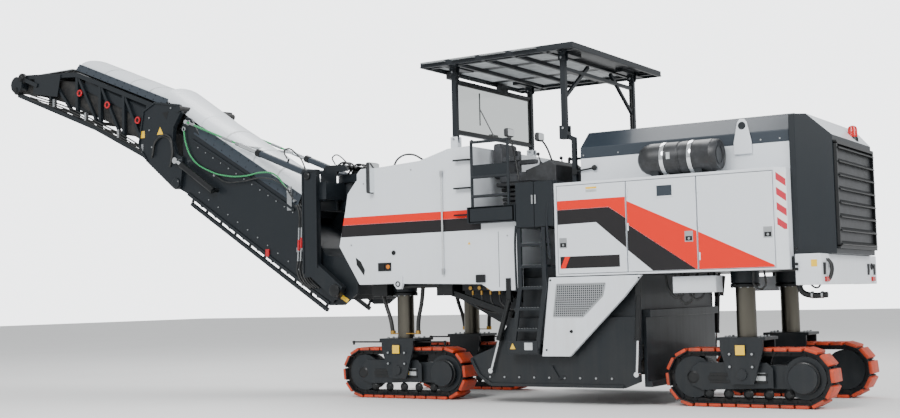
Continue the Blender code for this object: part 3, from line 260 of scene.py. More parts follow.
# lighter slate enamel of hood and conveyor strips
SLATE = enamel("slate_machine_enamel", "#28313A", "#595751", soil=0.20, gloss=0.42, shine=0.32)
# signal orange-red film of the side stripes
SIGNAL = enamel("signal_red_film", "#DE1C04", "#8E4A38", soil=0.10, gloss=0.36, shine=0.25)
# dark brown-grey film of the lower stripe
SHADOW = enamel("dark_grey_film", "#191719", "#444039", soil=0.16, gloss=0.40, shine=0.25)
# yellow enamel of the blank warning plates
YELLOW = enamel("yellow_plate_enamel", "#F2C318", "#9A8A50", soil=0.2)
# black enamel of brackets and cylinders
BLACK = enamel("black_bracket_enamel", "#0D1012", "#302E2B", soil=0.22, gloss=0.40, shine=0.28)
# polyurethane track pads, scuffed by the road: dull orange with grey rub marks
PAD = moulded("orange_polyurethane", "#C03C14", "#6E4030", 0.58, pore=0.006, depth=0.0012)
# forged chain and shoes, dark with dry grease
FORGED = moulded("greased_forging", "#14161A", "#35312D", 0.55, pore=0.005, depth=0.0008, metallic=0.5)
# milling drum: worn cast steel
CAST = moulded("worn_cast_steel", "#3B3A38", "#6D675F", 0.5, pore=0.008, depth=0.0015, metallic=0.7)
# engine casting under its primer
ENGINE = moulded("engine_primer", "#4B4F50", "#2C2C2B", 0.55, pore=0.006, depth=0.001)
# nitrile and chloroprene hoses: satin black
HOSE = moulded("hose_rubber", "#17191A", "#3B3A38", 0.48, pore=0.003, depth=0.0004)
# fabric-cored conveyor belt, greyed by stone dust
BELT = moulded("dusty_belt_rubber", "#1E1F20", "#3F3D3A", 0.8, pore=0.005, depth=0.001)
# injection-moulded black covers
PLASTIC = moulded("black_moulded_plastic", "#1B1D1F", "#34363A", 0.42, pore=0.0025, depth=0.0003)
# pale grey plastic of the roof lining
PALE = moulded("pale_grey_plastic", "#BFC3C4", "#8F9496", 0.5, pore=0.003, depth=0.0003)
# vinyl of the seat with a leather-like grain
VINYL = moulded("grained_seat_vinyl", "#26282B", "#3E4146", 0.5, pore=0.006, depth=0.0012)
# telescoping leg tube, ground steel under an old film of grease: warm grey
GREASED = bright_metal("greased_leg_steel", "#5E5B53", 0.34, scratch=(12.0, 12.0, 0.6))
# hard chrome of piston rods
CHROME = bright_metal("hard_chrome", "#D5D8DA", 0.14, scratch=(4.0, 4.0, 4.0))
# zinc plate of clips, bolts and grilles
ZINC = bright_metal("zinc_plate", "#A9ACAE", 0.36, scratch=(3.0, 3.0, 3.0))
# brass and yellow-passivated fittings
BRASS = bright_metal("yellow_passivated_steel", "#B08A48", 0.35, scratch=(3.0, 3.0, 3.0))
# red anodised hose couplings and roller rings
RED_METAL = enamel("red_coupling_enamel", "#B80F1B", "#5B2A28", soil=0.2)


def clear(name, code, roughness, ior, weight, **values):
    """A see-through plastic or glass, with a little dust in blotches on its skin."""
    made, tree, shader, place = finish(name, code, roughness, IOR=ior, Transmission_Weight=weight, **values)
    film = add(tree, "TexNoise", [("Vector", place)], Scale=6.0, Detail=5.0)
    dull = add(tree, "MapRange", [("Value", film.outputs["Fac"])], To_Min=roughness, To_Max=roughness + 0.12)
    tree.links.new(dull.outputs["Result"], shader.inputs["Roughness"])
    return made


# laminated glass with a faint grey-green tint
GLASS = clear("tinted_laminated_glass", "#F6FAF8", 0.02, 1.30, 1.0)
# red lens of the beacon and the hazard lamps
RED_LENS = clear("red_lens_plastic", "#D01818", 0.08, 1.49, 0.35)
# amber lens of the side lamps
AMBER_LENS = clear("amber_lens_plastic", "#F08A1E", 0.08, 1.49, 0.35)
# clear polycarbonate of the sight tube and work lamps
LENS = clear("clear_polycarbonate", "#E6E9EA", 0.06, 1.58, 0.55)
# silvered mirror glass
MIRROR = bright_metal("silvered_mirror_glass", "#E8EBEC", 0.03, scratch=(1.0, 1.0, 1.0))


def twisted_rope():
    """Laid polyester rope: green strands that wind round it, a painted highlight on the crest of each and
    painted shade in the grooves between them.
    """
    made, tree, shader, place = finish("green_polyester_rope", "#0F8A4A", 0.6, Sheen_Weight=0.3)
    # strands are 8 mm apart along the rope; they are drawn at 16 mm so that they show
    lay = add(
        tree, "TexWave", [("Vector", place)], wave_type="BANDS", bands_direction="DIAGONAL", Scale=20.0,
        Distortion=1.5
    )
    # dark green bands are painted shade in the grooves, light green bands a painted highlight on the crests
    colour = blend_colours(tree, lay.outputs["Fac"], "#0A6B3A", "#1FA85F")
    tree.links.new(colour, shader.inputs["Base Color"])
    grain(tree, shader, lay.outputs["Fac"], 0.002, 0.8)
    return made


ROPE = twisted_rope()


def hazard_film():
    """Reflective film with red and white bars that slope down to the rear."""
    made, tree, shader, place = finish("red_and_white_film", "#E8E8E8", 0.25, Coat_Weight=0.4)
    axes = add(tree, "SeparateXYZ", [("Vector", place)])
    slope = add(tree, "Math", [(0, axes.outputs["X"]), (1, axes.outputs["Z"])], operation="ADD")
    bars = add(tree, "Math", [(0, slope.outputs[0])], operation="PINGPONG")
    bars.inputs[1].default_value = 0.075  # each bar is 75 mm wide
    hard = add(tree, "Math", [(0, bars.outputs[0])], operation="GREATER_THAN")
    hard.inputs[1].default_value = 0.0375
    colour = blend_colours(tree, hard.outputs[0], "#E6E4E2", "#B81D33")
    tree.links.new(colour, shader.inputs["Base Color"])
    cells = add(tree, "TexVoronoi", [("Vector", place)], Scale=260.0)
    grain(tree, shader, cells.outputs["Distance"], 0.0003, 0.4)
    return made


HAZARD = hazard_film()


def paving():
    """Pale trowelled concrete of the stand: nearly even, with faint clouds."""
    made, tree, shader, place = finish("pale_trowelled_concrete", "#E9E9E8", 0.75)
    cloud = add(tree, "TexNoise", [("Vector", place)], Scale=0.5, Detail=8.0)
    share = add(tree, "MapRange", [("Value", cloud.outputs["Fac"])], To_Min=0.0, To_Max=0.5)
    colour = blend_colours(tree, share.outputs["Result"], "#ECECEB", "#DCDCDB")
    tree.links.new(colour, shader.inputs["Base Color"])
    return made


# -------------------------------------------------------------------------------- shaping tools


def block(bm, low, high):
    low, high = Vector(low), Vector(high)
    size = Matrix.Diagonal((*(abs(s) for s in high - low), 1.0))
    bmesh.ops.create_cube(bm, size=1.0, matrix=Matrix.Translation((low + high) / 2) @ size)


def along(start, end):
    """A matrix at the middle of two points whose Z runs along them, and their distance."""
    start, end = Vector(start), Vector(end)
    run = (end - start).normalized()
    side = Vector((0, 1, 0)) if abs(run.y) < 0.9 else Vector((1, 0, 0))
    cross = side.cross(run).normalized()
    turned = Matrix((cross, run.cross(cross), run)).transposed().to_4x4()
    return Matrix.Translation((start + end) / 2) @ turned, (end - start).length


def beam(bm, start, end, depth, width):
    place, length = along(start, end)
    bmesh.ops.create_cube(bm, size=1.0, matrix=place @ Matrix.Diagonal((depth, width, length, 1.0)))


def spindle(bm, start, end, radius, segments=16, end_radius=None):
    """A round bar, or a cone where its end has another radius."""
    place, length = along(start, end)
    last = radius if end_radius is None else end_radius
    bmesh.ops.create_cone(
        bm, cap_ends=True, segments=segments, radius1=radius, radius2=last, depth=length, matrix=place
    )


def turned(bm, start, end, profile, segments=24):
    """A lathe-turned shape: the profile holds (share along the axis, radius) from start to end."""
    place, length = along(start, end)
    points = [place @ Vector((radius, 0, (share - 0.5) * length)) for share, radius in profile]
    line = [bm.verts.new(p) for p in points]
    edges = [bm.edges.new(pair) for pair in zip(line, line[1:])]
    axis = (Vector(end) - Vector(start)).normalized()
    bmesh.ops.spin(
        bm, geom=line + edges, cent=Vector(start), axis=axis, angle=math.tau, steps=segments, use_merge=True
    )


def ring(bm, centre, axis, radius, thickness, segments=20, sides=8):
    """A torus, spun from a small circle."""
    centre, axis = Vector(centre), Vector(axis).normalized()
    side = axis.orthogonal().normalized()
    spot = centre + side * radius
    wire = bmesh.ops.create_circle(
        bm, segments=sides, radius=thickness,
        matrix=Matrix.Translation(spot) @ axis.cross(side).to_track_quat("Z", "Y").to_matrix().to_4x4()
    )
    edges = list({e for v in wire["verts"] for e in v.link_edges})
    geom = wire["verts"] + edges
    bmesh.ops.spin(bm, geom=geom, cent=centre, axis=axis, angle=math.tau, steps=segments, use_merge=True)


def sheet_of(bm, outline, sweep):
    """A flat outline of points, swept straight into a closed plate."""
    face = bm.faces.new([bm.verts.new(p) for p in outline])
    swept = bmesh.ops.extrude_face_region(bm, geom=[face])
    moved = [v for v in swept["geom"] if isinstance(v, bmesh.types.BMVert)]
    bmesh.ops.translate(bm, verts=moved, vec=Vector(sweep))


def side_sheet(bm, outline, y, thickness):
    """A plate that stands in an upright plane along the machine, from (x, z) points."""
    sheet_of(bm, [at(x, y, z) for x, z in outline], (0, thickness, 0))


def flat_edge(bm, line, y, depth, width):
    """Flat bars along a line of (x, z) points in the upright plane at y."""
    for start, end in zip(line, line[1:]):
        beam(bm, at(start[0], y, start[1]), at(end[0], y, end[1]), depth, width)


def box_outline(x0, x1, z0, z1):
    """The corners of an upright rectangle."""
    return [(x0, z0), (x1, z0), (x1, z1), (x0, z1)]


def round_the_clock(count):
    """The cosine and sine of each of a number of even turns."""
    turns = [math.tau * i / count for i in range(count)]
    return [(math.cos(a), math.sin(a)) for a in turns]


def bolt_heads(bm, centres, axis, radius=0.011, height=0.009):
    axis = Vector(axis).normalized()
    for centre in centres:
        foot = Vector(centre) - axis * 0.002
        spindle(bm, foot, Vector(centre) + axis * height, radius, segments=6)


def made_piece(bm, name, body, material, edge=0.0, corner=30):
    """Ends a piece: normals out, arrises eased by edge, smooth where it is round, riding on its body."""
    bmesh.ops.recalc_face_normals(bm, faces=bm.faces)
    mesh = bpy.data.meshes.new(name)
    bm.to_mesh(mesh)
    bm.free()
    piece = bpy.data.objects.new(name, mesh)
    bpy.context.scene.collection.objects.link(piece)
    mesh.materials.append(material)
    mesh.shade_smooth()
    mesh.set_sharp_from_angle(angle=math.radians(corner))
    if edge:
        ease(piece, edge, corner)
    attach(piece, body)
    return piece


def ease(piece, edge, corner=30):
    bevel = piece.modifiers.new("eased_edges", "BEVEL")
    bevel.width = edge
    bevel.segments = 2
    bevel.limit_method = "ANGLE"
    bevel.angle_limit = math.radians(corner)
    bevel.harden_normals = True


def hose(name, body, points, radius, material=None, sides=2):
    """A bent pipe, hose or wire on a smooth curve through its points."""
    curve = bpy.data.curves.new(name, "CURVE")
    curve.dimensions = "3D"
    curve.bevel_depth = radius
    curve.bevel_resolution = sides
    curve.resolution_u = 6
    curve.use_fill_caps = True
    spline = curve.splines.new("BEZIER")
    spline.bezier_points.add(len(points) - 1)
    for knot, point in zip(spline.bezier_points, points):
        knot.co = point
        knot.handle_left_type = knot.handle_right_type = "AUTO"
    piece = bpy.data.objects.new(name, curve)
    bpy.context.scene.collection.objects.link(piece)
    curve.materials.append(material or HOSE)
    if body:
        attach(piece, body)
    return piece


def hose_mesh(name, points, radius, material=None):
    """A hose as a mesh with no parent, for one that bends between two bodies."""
    guide = hose(name + "_guide", None, points, radius, material)
    bpy.context.view_layer.update()
    graph = bpy.context.evaluated_depsgraph_get()
    mesh = bpy.data.meshes.new_from_object(guide.evaluated_get(graph))
    mesh.name = name
    bm = bmesh.new()
    bm.from_mesh(mesh)
    bmesh.ops.remove_doubles(bm, verts=bm.verts, dist=0.0001)
    bm.to_mesh(mesh)
    bm.free()
    bpy.data.objects.remove(guide)
    piece = bpy.data.objects.new(name, mesh)
    bpy.context.scene.collection.objects.link(piece)
    mesh.shade_smooth()
    return piece


def dressed(node, material, edge=0.005, corner=25, others=()):
    """The CAD solid's own shape with eased arrises. others holds (material, test): the faces whose
    middle passes the test take that material."""
    bm = bmesh.new()
    bm.from_mesh(frame["nodes"][node].data)
    bmesh.ops.remove_doubles(bm, verts=bm.verts, dist=0.00002)
    bmesh.ops.dissolve_limit(
        bm, angle_limit=math.radians(0.5), verts=bm.verts, edges=bm.edges, delimit={"NORMAL"}
    )
    for face in bm.faces:
        face.material_index = 0
        centre = face.calc_center_median()
        for index, (kind, test) in enumerate(others):
            if test(centre, face.normal):
                face.material_index = index + 1
    mesh = bpy.data.meshes.new(node + "_dressed")
    bm.to_mesh(mesh)
    bm.free()
    piece = bpy.data.objects.new(node + "_dressed", mesh)
    bpy.context.scene.collection.objects.link(piece)
    for used in (material, *(kind for kind, test in others)):
        mesh.materials.append(used)
    mesh.shade_smooth()
    mesh.set_sharp_from_angle(angle=math.radians(corner))
    if edge:
        ease(piece, edge, corner)
    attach(piece, body_of(frame["nodes"][node])[0])
    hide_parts(node)
    return piece

# ------------------------------------------------------------------------ stand, light, camera


def stand():
    """A wide pale floor, and even studio light from above, in front and behind."""
    bm = bmesh.new()
    bmesh.ops.create_grid(bm, x_segments=1, y_segments=1, size=60.0)
    bmesh.ops.translate(bm, verts=bm.verts, vec=(0, 0, -0.004))
    mesh = bpy.data.meshes.new("floor")
    bm.to_mesh(mesh)
    bm.free()
    mesh.materials.append(paving())
    floor = bpy.data.objects.new("floor", mesh)
    bpy.context.scene.collection.objects.link(floor)
    floor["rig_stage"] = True
    world = bpy.data.worlds.new("studio")
    world.use_nodes = True
    tree = world.node_tree
    sky = tree.nodes["Background"]
    sky.inputs["Color"].default_value = linear("#F7F9FB")
    seen = add(tree, "LightPath").outputs["Is Camera Ray"]
    strength = add(tree, "MapRange", [("Value", seen)], To_Min=0.95, To_Max=4.0)
    tree.links.new(strength.outputs["Result"], sky.inputs["Strength"])
    bpy.context.scene.world = world


def lamp(name, place, target, size, power):
    light = bpy.data.lights.new(name, "AREA")
    light.shape = "DISK"
    light.size = size
    light.energy = power
    holder = bpy.data.objects.new(name, light)
    holder.location = place
    holder.rotation_euler = (Vector(target) - Vector(place)).to_track_quat("-Z", "Y").to_euler()
    bpy.context.scene.collection.objects.link(holder)
    holder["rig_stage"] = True


def camera():
    """A camera by the machine's rear left corner at chest height, turned towards its front."""
    yaw, pitch, roll = 0.5688031, 0.0691602, -0.0232453
    look = Vector((-math.sin(yaw) * math.cos(pitch), math.cos(yaw) * math.cos(pitch), math.sin(pitch)))
    level = Vector((math.cos(yaw), math.sin(yaw), 0))
    plumb = level.cross(look)
    right = math.cos(roll) * level + math.sin(roll) * plumb
    up = math.cos(roll) * plumb - math.sin(roll) * level
    lens = bpy.data.cameras.new("camera")
    lens.lens = 50.907
    lens.sensor_width = 36.0
    lens.clip_end = 200.0
    eye = bpy.data.objects.new("camera", lens)
    bpy.context.scene.collection.objects.link(eye)
    eye.matrix_world = Matrix.Translation(
        (10.050665, -13.579714, 1.201054)
    ) @ Matrix((right, up, -look)).transposed().to_4x4()
    bpy.context.scene.camera = eye


stand()
lamp("key", (3.0, -14.0, 11.0), (0, 0, 2.0), 7.0, 1900)
lamp("rear_fill", (14.0, -3.0, 7.0), (3, 0, 1.5), 6.0, 800)
lamp("top", (-1.0, 5.0, 12.0), (0, 0, 2.0), 9.0, 1300)
camera()

# ----------------------------------------------------------------- the machine's own big shapes


BELT_HALF = 0.43  # half the width of a belt


def belt_part(centre, normal):
    """The belt runs between the chords of the lattice."""
    return abs(centre.y) < BELT_HALF


def cowl_top(centre, normal):
    return normal.z > 0.3


def stay_part(centre, normal):
    """The ropes that carry on from the lift cylinders' rods to the conveyor's lugs."""
    return AXLE_X - 8.10 < centre.x < AXLE_X - 7.25


for axle in ("front", "rear"):
    for side in SIDES:
        dressed(f"{axle}_{side}_leg_tube", GREASED, 0.002)
        dressed(f"{axle}_{side}_track_frame", CHARCOAL, 0.003)

DRESS = [  # the nodes that keep their shape: finish, width of the eased edge in metres, nodes
    (CHARCOAL, 0.004, ["chassis_frame"]),
    (WHITE, 0.010, ["front_hull"]),
    (WHITE, 0.006, ["engine_body"]),
    (ENGINE, 0.006, ["engine_block"]),
    (SLATE, 0.008, ["engine_hood"]),
    (WHITE, 0.008, ["tail_box"]),
    (CHARCOAL, 0.004, ["drum_housing"]),
    (CAST, 0.003, ["milling_drum_body"]),
    (CHARCOAL, 0.004, ["left_side_plate_skid", "right_side_plate_skid", "scraper_blade"]),
    (WHITE, 0.006, ["left_step_skirt", "right_step_skirt"]),
    (CHARCOAL, 0.005, ["primary_conveyor"]),
    (CHARCOAL, 0.006, ["slew_bracket", "slewing_mast"]),
    (SLATE, 0.002, ["lift_cylinder_barrels"]),
    (BLACK, 0.002, ["left_fold_barrel", "right_fold_barrel"]),
    (CHROME, 0.001, ["left_fold_rod", "right_fold_rod"]),
    (CHARCOAL, 0.004, ["operator_platform"]),
    (PLASTIC, 0.010, ["control_console"]),
    (CHARCOAL, 0.006, ["equipment_cabinet"]),
    (CHARCOAL, 0.003, ["cabinet_fore_door_panel", "cabinet_aft_door_panel", "left_ladder", "right_ladder"]),
    (CHARCOAL, 0.004, ["canopy_front_posts", "canopy_rear_posts", "left_canopy_foot", "right_canopy_foot"]),
    (GLASS, 0.001, ["windscreen"]),
]
for material, edge, nodes in DRESS:
    for node in nodes:
        dressed(node, material, edge)
for side in SIDES:
    for door in ("front", "middle", "rear"):
        dressed(f"{side}_{door}_door_panel", WHITE, 0.004)
dressed("canopy_roof_panel", CHARCOAL, 0.003)
dressed("lower_conveyor_frame", CHARCOAL, 0.004)
dressed("upper_conveyor_frame", CHARCOAL, 0.003, others=((BELT, belt_part),))
dressed("rear_cowl", CHARCOAL, 0.006, others=((WHITE, cowl_top),))
dressed("lift_cylinder_rods", CHROME, 0.001, others=((ROPE, stay_part),))

# ------------------------------------------------------------------------------------- tracks

SHOES_LOW, SHOES_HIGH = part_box("rear_left_shoes")
WHEEL_Z = (SHOES_LOW.z + SHOES_HIGH.z) / 2
PAD_DEPTH = 0.036
PLATE_DEPTH = 0.010
SHOE_COUNT = 26
CHAIN_RADIUS = WHEEL_Z - PAD_DEPTH - PLATE_DEPTH  # of the line under the shoe plates
TRACK_RUN = (SHOES_HIGH.x - SHOES_LOW.x) - 2 * WHEEL_Z  # between the two wheel centres
LOOP_LENGTH = 2 * TRACK_RUN + math.tau * CHAIN_RADIUS
PITCH = LOOP_LENGTH / SHOE_COUNT


def loop_place(distance, low_x, mid_y):
    """The place and turn of a shoe on the chain's loop: X runs along the chain and Z points out."""
    bend = math.pi * CHAIN_RADIUS
    fore, aft = low_x + WHEEL_Z, low_x + WHEEL_Z + TRACK_RUN
    if distance < TRACK_RUN:
        x, z, turn = fore + distance, WHEEL_Z - CHAIN_RADIUS, math.pi
    elif distance < TRACK_RUN + bend:
        angle = (distance - TRACK_RUN) / CHAIN_RADIUS
        x, z = aft + CHAIN_RADIUS * math.sin(angle), WHEEL_Z - CHAIN_RADIUS * math.cos(angle)
        turn = math.pi - angle
    elif distance < 2 * TRACK_RUN + bend:
        x, z, turn = aft - (distance - TRACK_RUN - bend), WHEEL_Z + CHAIN_RADIUS, 0.0
    else:
        angle = (distance - 2 * TRACK_RUN - bend) / CHAIN_RADIUS
        x, z = fore - CHAIN_RADIUS * math.sin(angle), WHEEL_Z + CHAIN_RADIUS * math.cos(angle)
        turn = -angle
    return Matrix.Translation((x, mid_y, z)) @ Matrix.Rotation(turn, 4, "Y")


def placed_block(bm, place, low, high):
    low, high = Vector(low), Vector(high)
    size = Matrix.Diagonal((*(high - low), 1.0))
    made = bmesh.ops.create_cube(bm, size=1.0, matrix=place @ Matrix.Translation((low + high) / 2) @ size)
    return made["verts"]


def track(axle, side):
    """Pads, shoe plates and chain links of one track, and the wheels and rollers inside them."""
    low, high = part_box(f"{axle}_{side}_shoes")
    mid_y, half = (low.y + high.y) / 2, (high.y - low.y) / 2
    body = f"{axle}_{side}_track"
    pads, plates, links = bmesh.new(), bmesh.new(), bmesh.new()
    for i in range(SHOE_COUNT):
        place = loop_place((i + 0.5) * PITCH, low.x, mid_y)
        reach = PITCH / 2 - 0.009
        top = PLATE_DEPTH + PAD_DEPTH
        foot = PLATE_DEPTH - 0.002
        corners = placed_block(pads, place, (-reach, -half + 0.004, foot), (reach, half - 0.004, top))
        rim = list({e for v in corners for e in v.link_edges})
        bmesh.ops.bevel(pads, geom=rim, offset=0.009, segments=2, profile=0.5, affect="EDGES", material=-1)
        placed_block(
            plates, place, (-PITCH / 2 + 0.003, -half, -0.002), (PITCH / 2 - 0.003, half, PLATE_DEPTH)
        )
        for y in (-0.075, 0.075):
            placed_block(links, place, (-PITCH * 0.46, y - 0.016, -0.040), (PITCH * 0.46, y + 0.016, -0.001))
            knot = place @ Vector((PITCH / 2, y, -0.020))
            spindle(links, knot - Vector((0, 0.024, 0)), knot + Vector((0, 0.024, 0)), 0.021, 10)
    made = made_piece(pads, body + "_pads", body, PAD)
    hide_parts(f"{axle}_{side}_shoes")
    made_piece(plates, body + "_shoe_plates", body, FORGED, 0.002)
    made_piece(links, body + "_chain", body, FORGED)
    trim = bmesh.new()
    bolts = bmesh.new()
    out = SIDES[side]
    face = mid_y + out * (half - 0.028)
    hub_x = high.x - WHEEL_Z
    turned(
        trim, (hub_x, face, WHEEL_Z), (hub_x, face + out * 0.055, WHEEL_Z),
        [
            (0, 0.0), (0, 0.165), (0.35, 0.165), (0.5, 0.15), (0.55, 0.118), (0.9, 0.108), (1.0, 0.09),
            (1.0, 0.0)
        ],
        32
    )
    ring_radius = 0.135  # of the bolts round the drive hub
    spots = [
        (hub_x + ring_radius * c, face + out * 0.024, WHEEL_Z + ring_radius * s) for c,
        s in round_the_clock(14)
    ]
    bolt_heads(bolts, spots, (0, out, 0), 0.010, 0.010)
    fore_x = low.x + WHEEL_Z
    turned(
        trim, (fore_x, face - out * 0.01, WHEEL_Z), (fore_x, face + out * 0.02, WHEEL_Z),
        [(0, 0.0), (0, 0.075), (0.6, 0.07), (1.0, 0.05), (1.0, 0.0)], 24
    )
    for i in range(5):
        x = fore_x + 0.16 + i * (TRACK_RUN - 0.32) / 4
        turned(
            trim, (x, face - out * 0.03, 0.135), (x, face + out * 0.012, 0.135),
            [(0, 0.0), (0, 0.05), (0.4, 0.056), (0.7, 0.045), (1.0, 0.028), (1.0, 0.0)], 18
        )
    for x0, x1 in ((fore_x + 0.18, fore_x + 0.42), (fore_x + 0.62, fore_x + 0.80)):
        block(trim, (x0, face - 0.02, WHEEL_Z + 0.02), (x1, face + 0.02, WHEEL_Z + 0.045))
        block(trim, (x0, face - 0.02, WHEEL_Z - 0.055), (x1, face + 0.02, WHEEL_Z - 0.03))
    made_piece(trim, body + "_rollers", body, BLACK, 0.002)
    heads = [(fore_x + 0.10 + 0.09 * i, face + out * 0.001, WHEEL_Z + 0.10) for i in range(9)]
    bolt_heads(bolts, heads, (0, out, 0), 0.009, 0.008)
    made_piece(bolts, body + "_bolts", body, ZINC)


for axle in ("front", "rear"):
    for side in SIDES:
        track(axle, side)

# ----------------------------------------------------------------- films and fittings on panels


def film(name, body, outline, material, y):
    """A thin film on an upright side panel whose face is at y."""
    bm = bmesh.new()
    side_sheet(bm, outline, y, math.copysign(THIN, y))
    return made_piece(bm, name, body, material)


def latch(bm, dark, x, z, y):
    """A flush paddle latch: a plate with a rim, the paddle in it, and a black block of painted shade for its
    well.
    """
    out = math.copysign(1, y)
    block(bm, at(x - 0.046, y, z - 0.056), at(x + 0.046, y + out * 0.002, z + 0.056))
    block(bm, at(x - 0.036, y, z + 0.006), at(x + 0.036, y + out * 0.004, z + 0.046))
    # the well behind the paddle is painted shade: a black block on the plate
    block(dark, at(x - 0.036, y, z - 0.044), at(x + 0.036, y + out * 0.003, z + 0.002))
    spindle(bm, at(x, y, z - 0.022), at(x, y + out * 0.0045, z - 0.022), 0.013, 12)


# name, door, finish, outline and layer of each stripe and blank plate
DOOR_FILMS = [
    (
        "front_door_red", "front", SIGNAL,
        [(-1.921, 2.222), (-1.109, 2.222), (-1.109, 1.998), (-1.303, 2.126), (-1.921, 2.124)], 0
    ),
    (
        "front_door_grey", "front", SHADOW,
        [(-1.921, 2.122), (-1.303, 2.124), (-1.109, 1.996), (-1.109, 1.68), (-1.456, 1.971), (-1.921, 1.962)],
        0
    ),
    (
        "middle_door_red", "middle", SIGNAL,
        [(-1.091, 2.176), (-0.319, 1.822), (-0.319, 1.429), (-0.330, 1.429), (-1.091, 1.932)], 0
    ),
    (
        "middle_door_grey", "middle", SHADOW,
        [(-1.091, 1.930), (-0.332, 1.429), (-0.813, 1.429), (-1.091, 1.654)], 0
    ),
    ("rear_door_red", "rear", SIGNAL, [(-0.301, 1.814), (0.487, 1.446), (0.487, 1.429), (-0.301, 1.429)], 0),
    ("name_plate", "front", SHADOW, box_outline(-1.90, -1.19, 1.482, 1.612), 0),
    ("name_flash", "front", SIGNAL, [(-1.90, 1.482), (-1.84, 1.482), (-1.78, 1.612), (-1.84, 1.612)], 1),
    ("yellow_strip", "front", YELLOW, box_outline(-1.57, -1.44, 2.335, 2.355), 0),
    ("grey_strip", "front", PALE, box_outline(-1.57, -1.44, 2.30, 2.327), 0)
]


def door_films(side):
    """The stripes over the three doors, the blank plates, the latches and the vent."""
    sign = SIDES[side]
    y = sign * POD_SIDE
    front, middle_door, rear = (f"{side}_{door}_door" for door in ("front", "middle", "rear"))
    for name, door, material, outline, layer in DOOR_FILMS:
        film(f"{side}_{name}", f"{side}_{door}_door", outline, material, y + sign * THIN * layer)
    for door, x, z in ((front, -1.86, 1.76), (middle_door, -0.404, 1.77), (rear, 0.430, 1.775)):
        bright, dark = bmesh.new(), bmesh.new()
        latch(bright, dark, x, z, y)
        made_piece(bright, f"{door}_latch", door, ZINC, 0.001)
        # the latch well is a black piece of painted shade
        made_piece(dark, f"{door}_latch_well_painted_shade", door, BLACK, 0.001)
    frame_of_vent, well = bmesh.new(), bmesh.new()
    # the vent's recess is painted shade: a dark slate film inside the frame
    block(well, at(-0.745, y, 2.205), at(-0.575, y + sign * THIN, 2.315))
    for low, high in (
        ((-0.76, 2.315), (-0.56, 2.33)), ((-0.76, 2.19), (-0.56, 2.205)), ((-0.76, 2.205), (-0.745, 2.315)),
        ((-0.575, 2.205), (-0.56, 2.315))
    ):
        block(frame_of_vent, at(low[0], y, low[1]), at(high[0], y + sign * 0.006, high[1]))
    made_piece(frame_of_vent, f"{side}_vent_frame", middle_door, WHITE, 0.002)
    made_piece(well, f"{side}_vent_well_painted_shade", middle_door, SLATE)
    hinges = bmesh.new()
    for x in (-1.083, -0.292):
        for z in (1.56, 1.90, 2.26):
            spindle(hinges, at(x, y + sign * 0.004, z - 0.04), at(x, y + sign * 0.004, z + 0.04), 0.009, 12)
    made_piece(hinges, f"{side}_hinge_knuckles", "chassis", WHITE)


def hazard_bars(side):
    """Striped film on the slanted rear corner of the side box."""
    sign = SIDES[side]
    bm = bmesh.new()
    fore, aft = at(0.527, sign * 1.2102, 0), at(0.593, sign * 1.1112, 0)
    out = Vector((0.832, sign * 0.555, 0)) * THIN
    low, high = Vector((0, 0, 1.80)), Vector((0, 0, 2.37))
    sheet_of(bm, [fore + low, aft + low, aft + high, fore + high], out)
    made_piece(bm, f"{side}_hazard_bars", "chassis", HAZARD)


def clipped(outline, axis, value):
    """The lowest and highest place where a straight line at that value crosses an outline."""
    crossings = []
    for a, b in zip(outline, outline[1:] + outline[:1]):
        if (a[axis] - value) * (b[axis] - value) < 0:
            share = (value - a[axis]) / (b[axis] - a[axis])
            crossings.append(a[1 - axis] + share * (b[1 - axis] - a[1 - axis]))
    return (min(crossings), max(crossings)) if crossings else None


def grille(name, body, outline, y, pitch=0.024, wire=0.0045):
    """A pressed steel grille in an upright side panel: crossed bars over a black film of painted shade for
    the hollow behind them.
    """
    out = math.copysign(1, y)
    well, bars = bmesh.new(), bmesh.new()
    # the hollow behind the bars is painted shade: a black film on the panel
    side_sheet(well, outline, y, out * THIN)
    for axis in (0, 1):
        lowest = min(p[axis] for p in outline)
        highest = max(p[axis] for p in outline)
        for i in range(1, int((highest - lowest) / pitch) + 1):
            value = lowest + i * pitch
            span = clipped(outline, axis, value)
            if not span or span[1] - span[0] < 0.02:
                continue
            depth = (0.002, 0.007) if axis else (0.001, 0.006)
            if axis:
                ends = (span[0], value - wire), (span[1], value + wire)
            else:
                ends = (value - wire, span[0]), (value + wire, span[1])
            block(
                bars, at(ends[0][0], y + out * depth[0], ends[0][1]),
                at(ends[1][0], y + out * depth[1], ends[1][1])
            )
    flat_edge(bars, outline + outline[:1], y + out * 0.004, 0.014, 0.008)
    made_piece(well, name + "_well", body, BLACK)
    made_piece(bars, name, body, ZINC)


def skirt_details(side):
    sign = SIDES[side]
    low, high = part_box(f"{side}_step_skirt")
    y = low.y if sign < 0 else high.y
    outline = [(-1.951, 1.313), (-1.371, 1.312), (-1.406, 1.18), (-1.646, 0.961), (-2.001, 0.965)]
    grille(f"{side}_skirt_grille", "chassis", outline, y)
    plugs = bmesh.new()
    bolt_heads(
        plugs, [at(x, y, z) for x, z in ((-1.80, 0.80), (-2.03, 1.36), (-0.98, 1.36), (-2.10, 0.60))],
        (0, sign, 0)
    )
    spindle(plugs, at(-1.79, y, 0.80), at(-1.79, y + sign * 0.004, 0.80), 0.018, 16)
    made_piece(plugs, f"{side}_skirt_plugs", "chassis", BLACK)
    box_piece = bmesh.new()
    block(box_piece, at(-0.653, sign * 1.09, 1.19), at(-0.18, sign * 0.90, 1.36))
    block(box_piece, at(-0.64, sign * 1.096, 1.20), at(-0.19, sign * 1.09, 1.35))
    made_piece(box_piece, f"{side}_under_box", "chassis", WHITE, 0.008)
    brackets = bmesh.new()
    for x in (-0.58, -0.25):
        block(brackets, at(x - 0.02, sign * 1.02, 1.36), at(x + 0.02, sign * 0.96, 1.40))
    made_piece(brackets, f"{side}_under_box_brackets", "chassis", BLACK, 0.002)


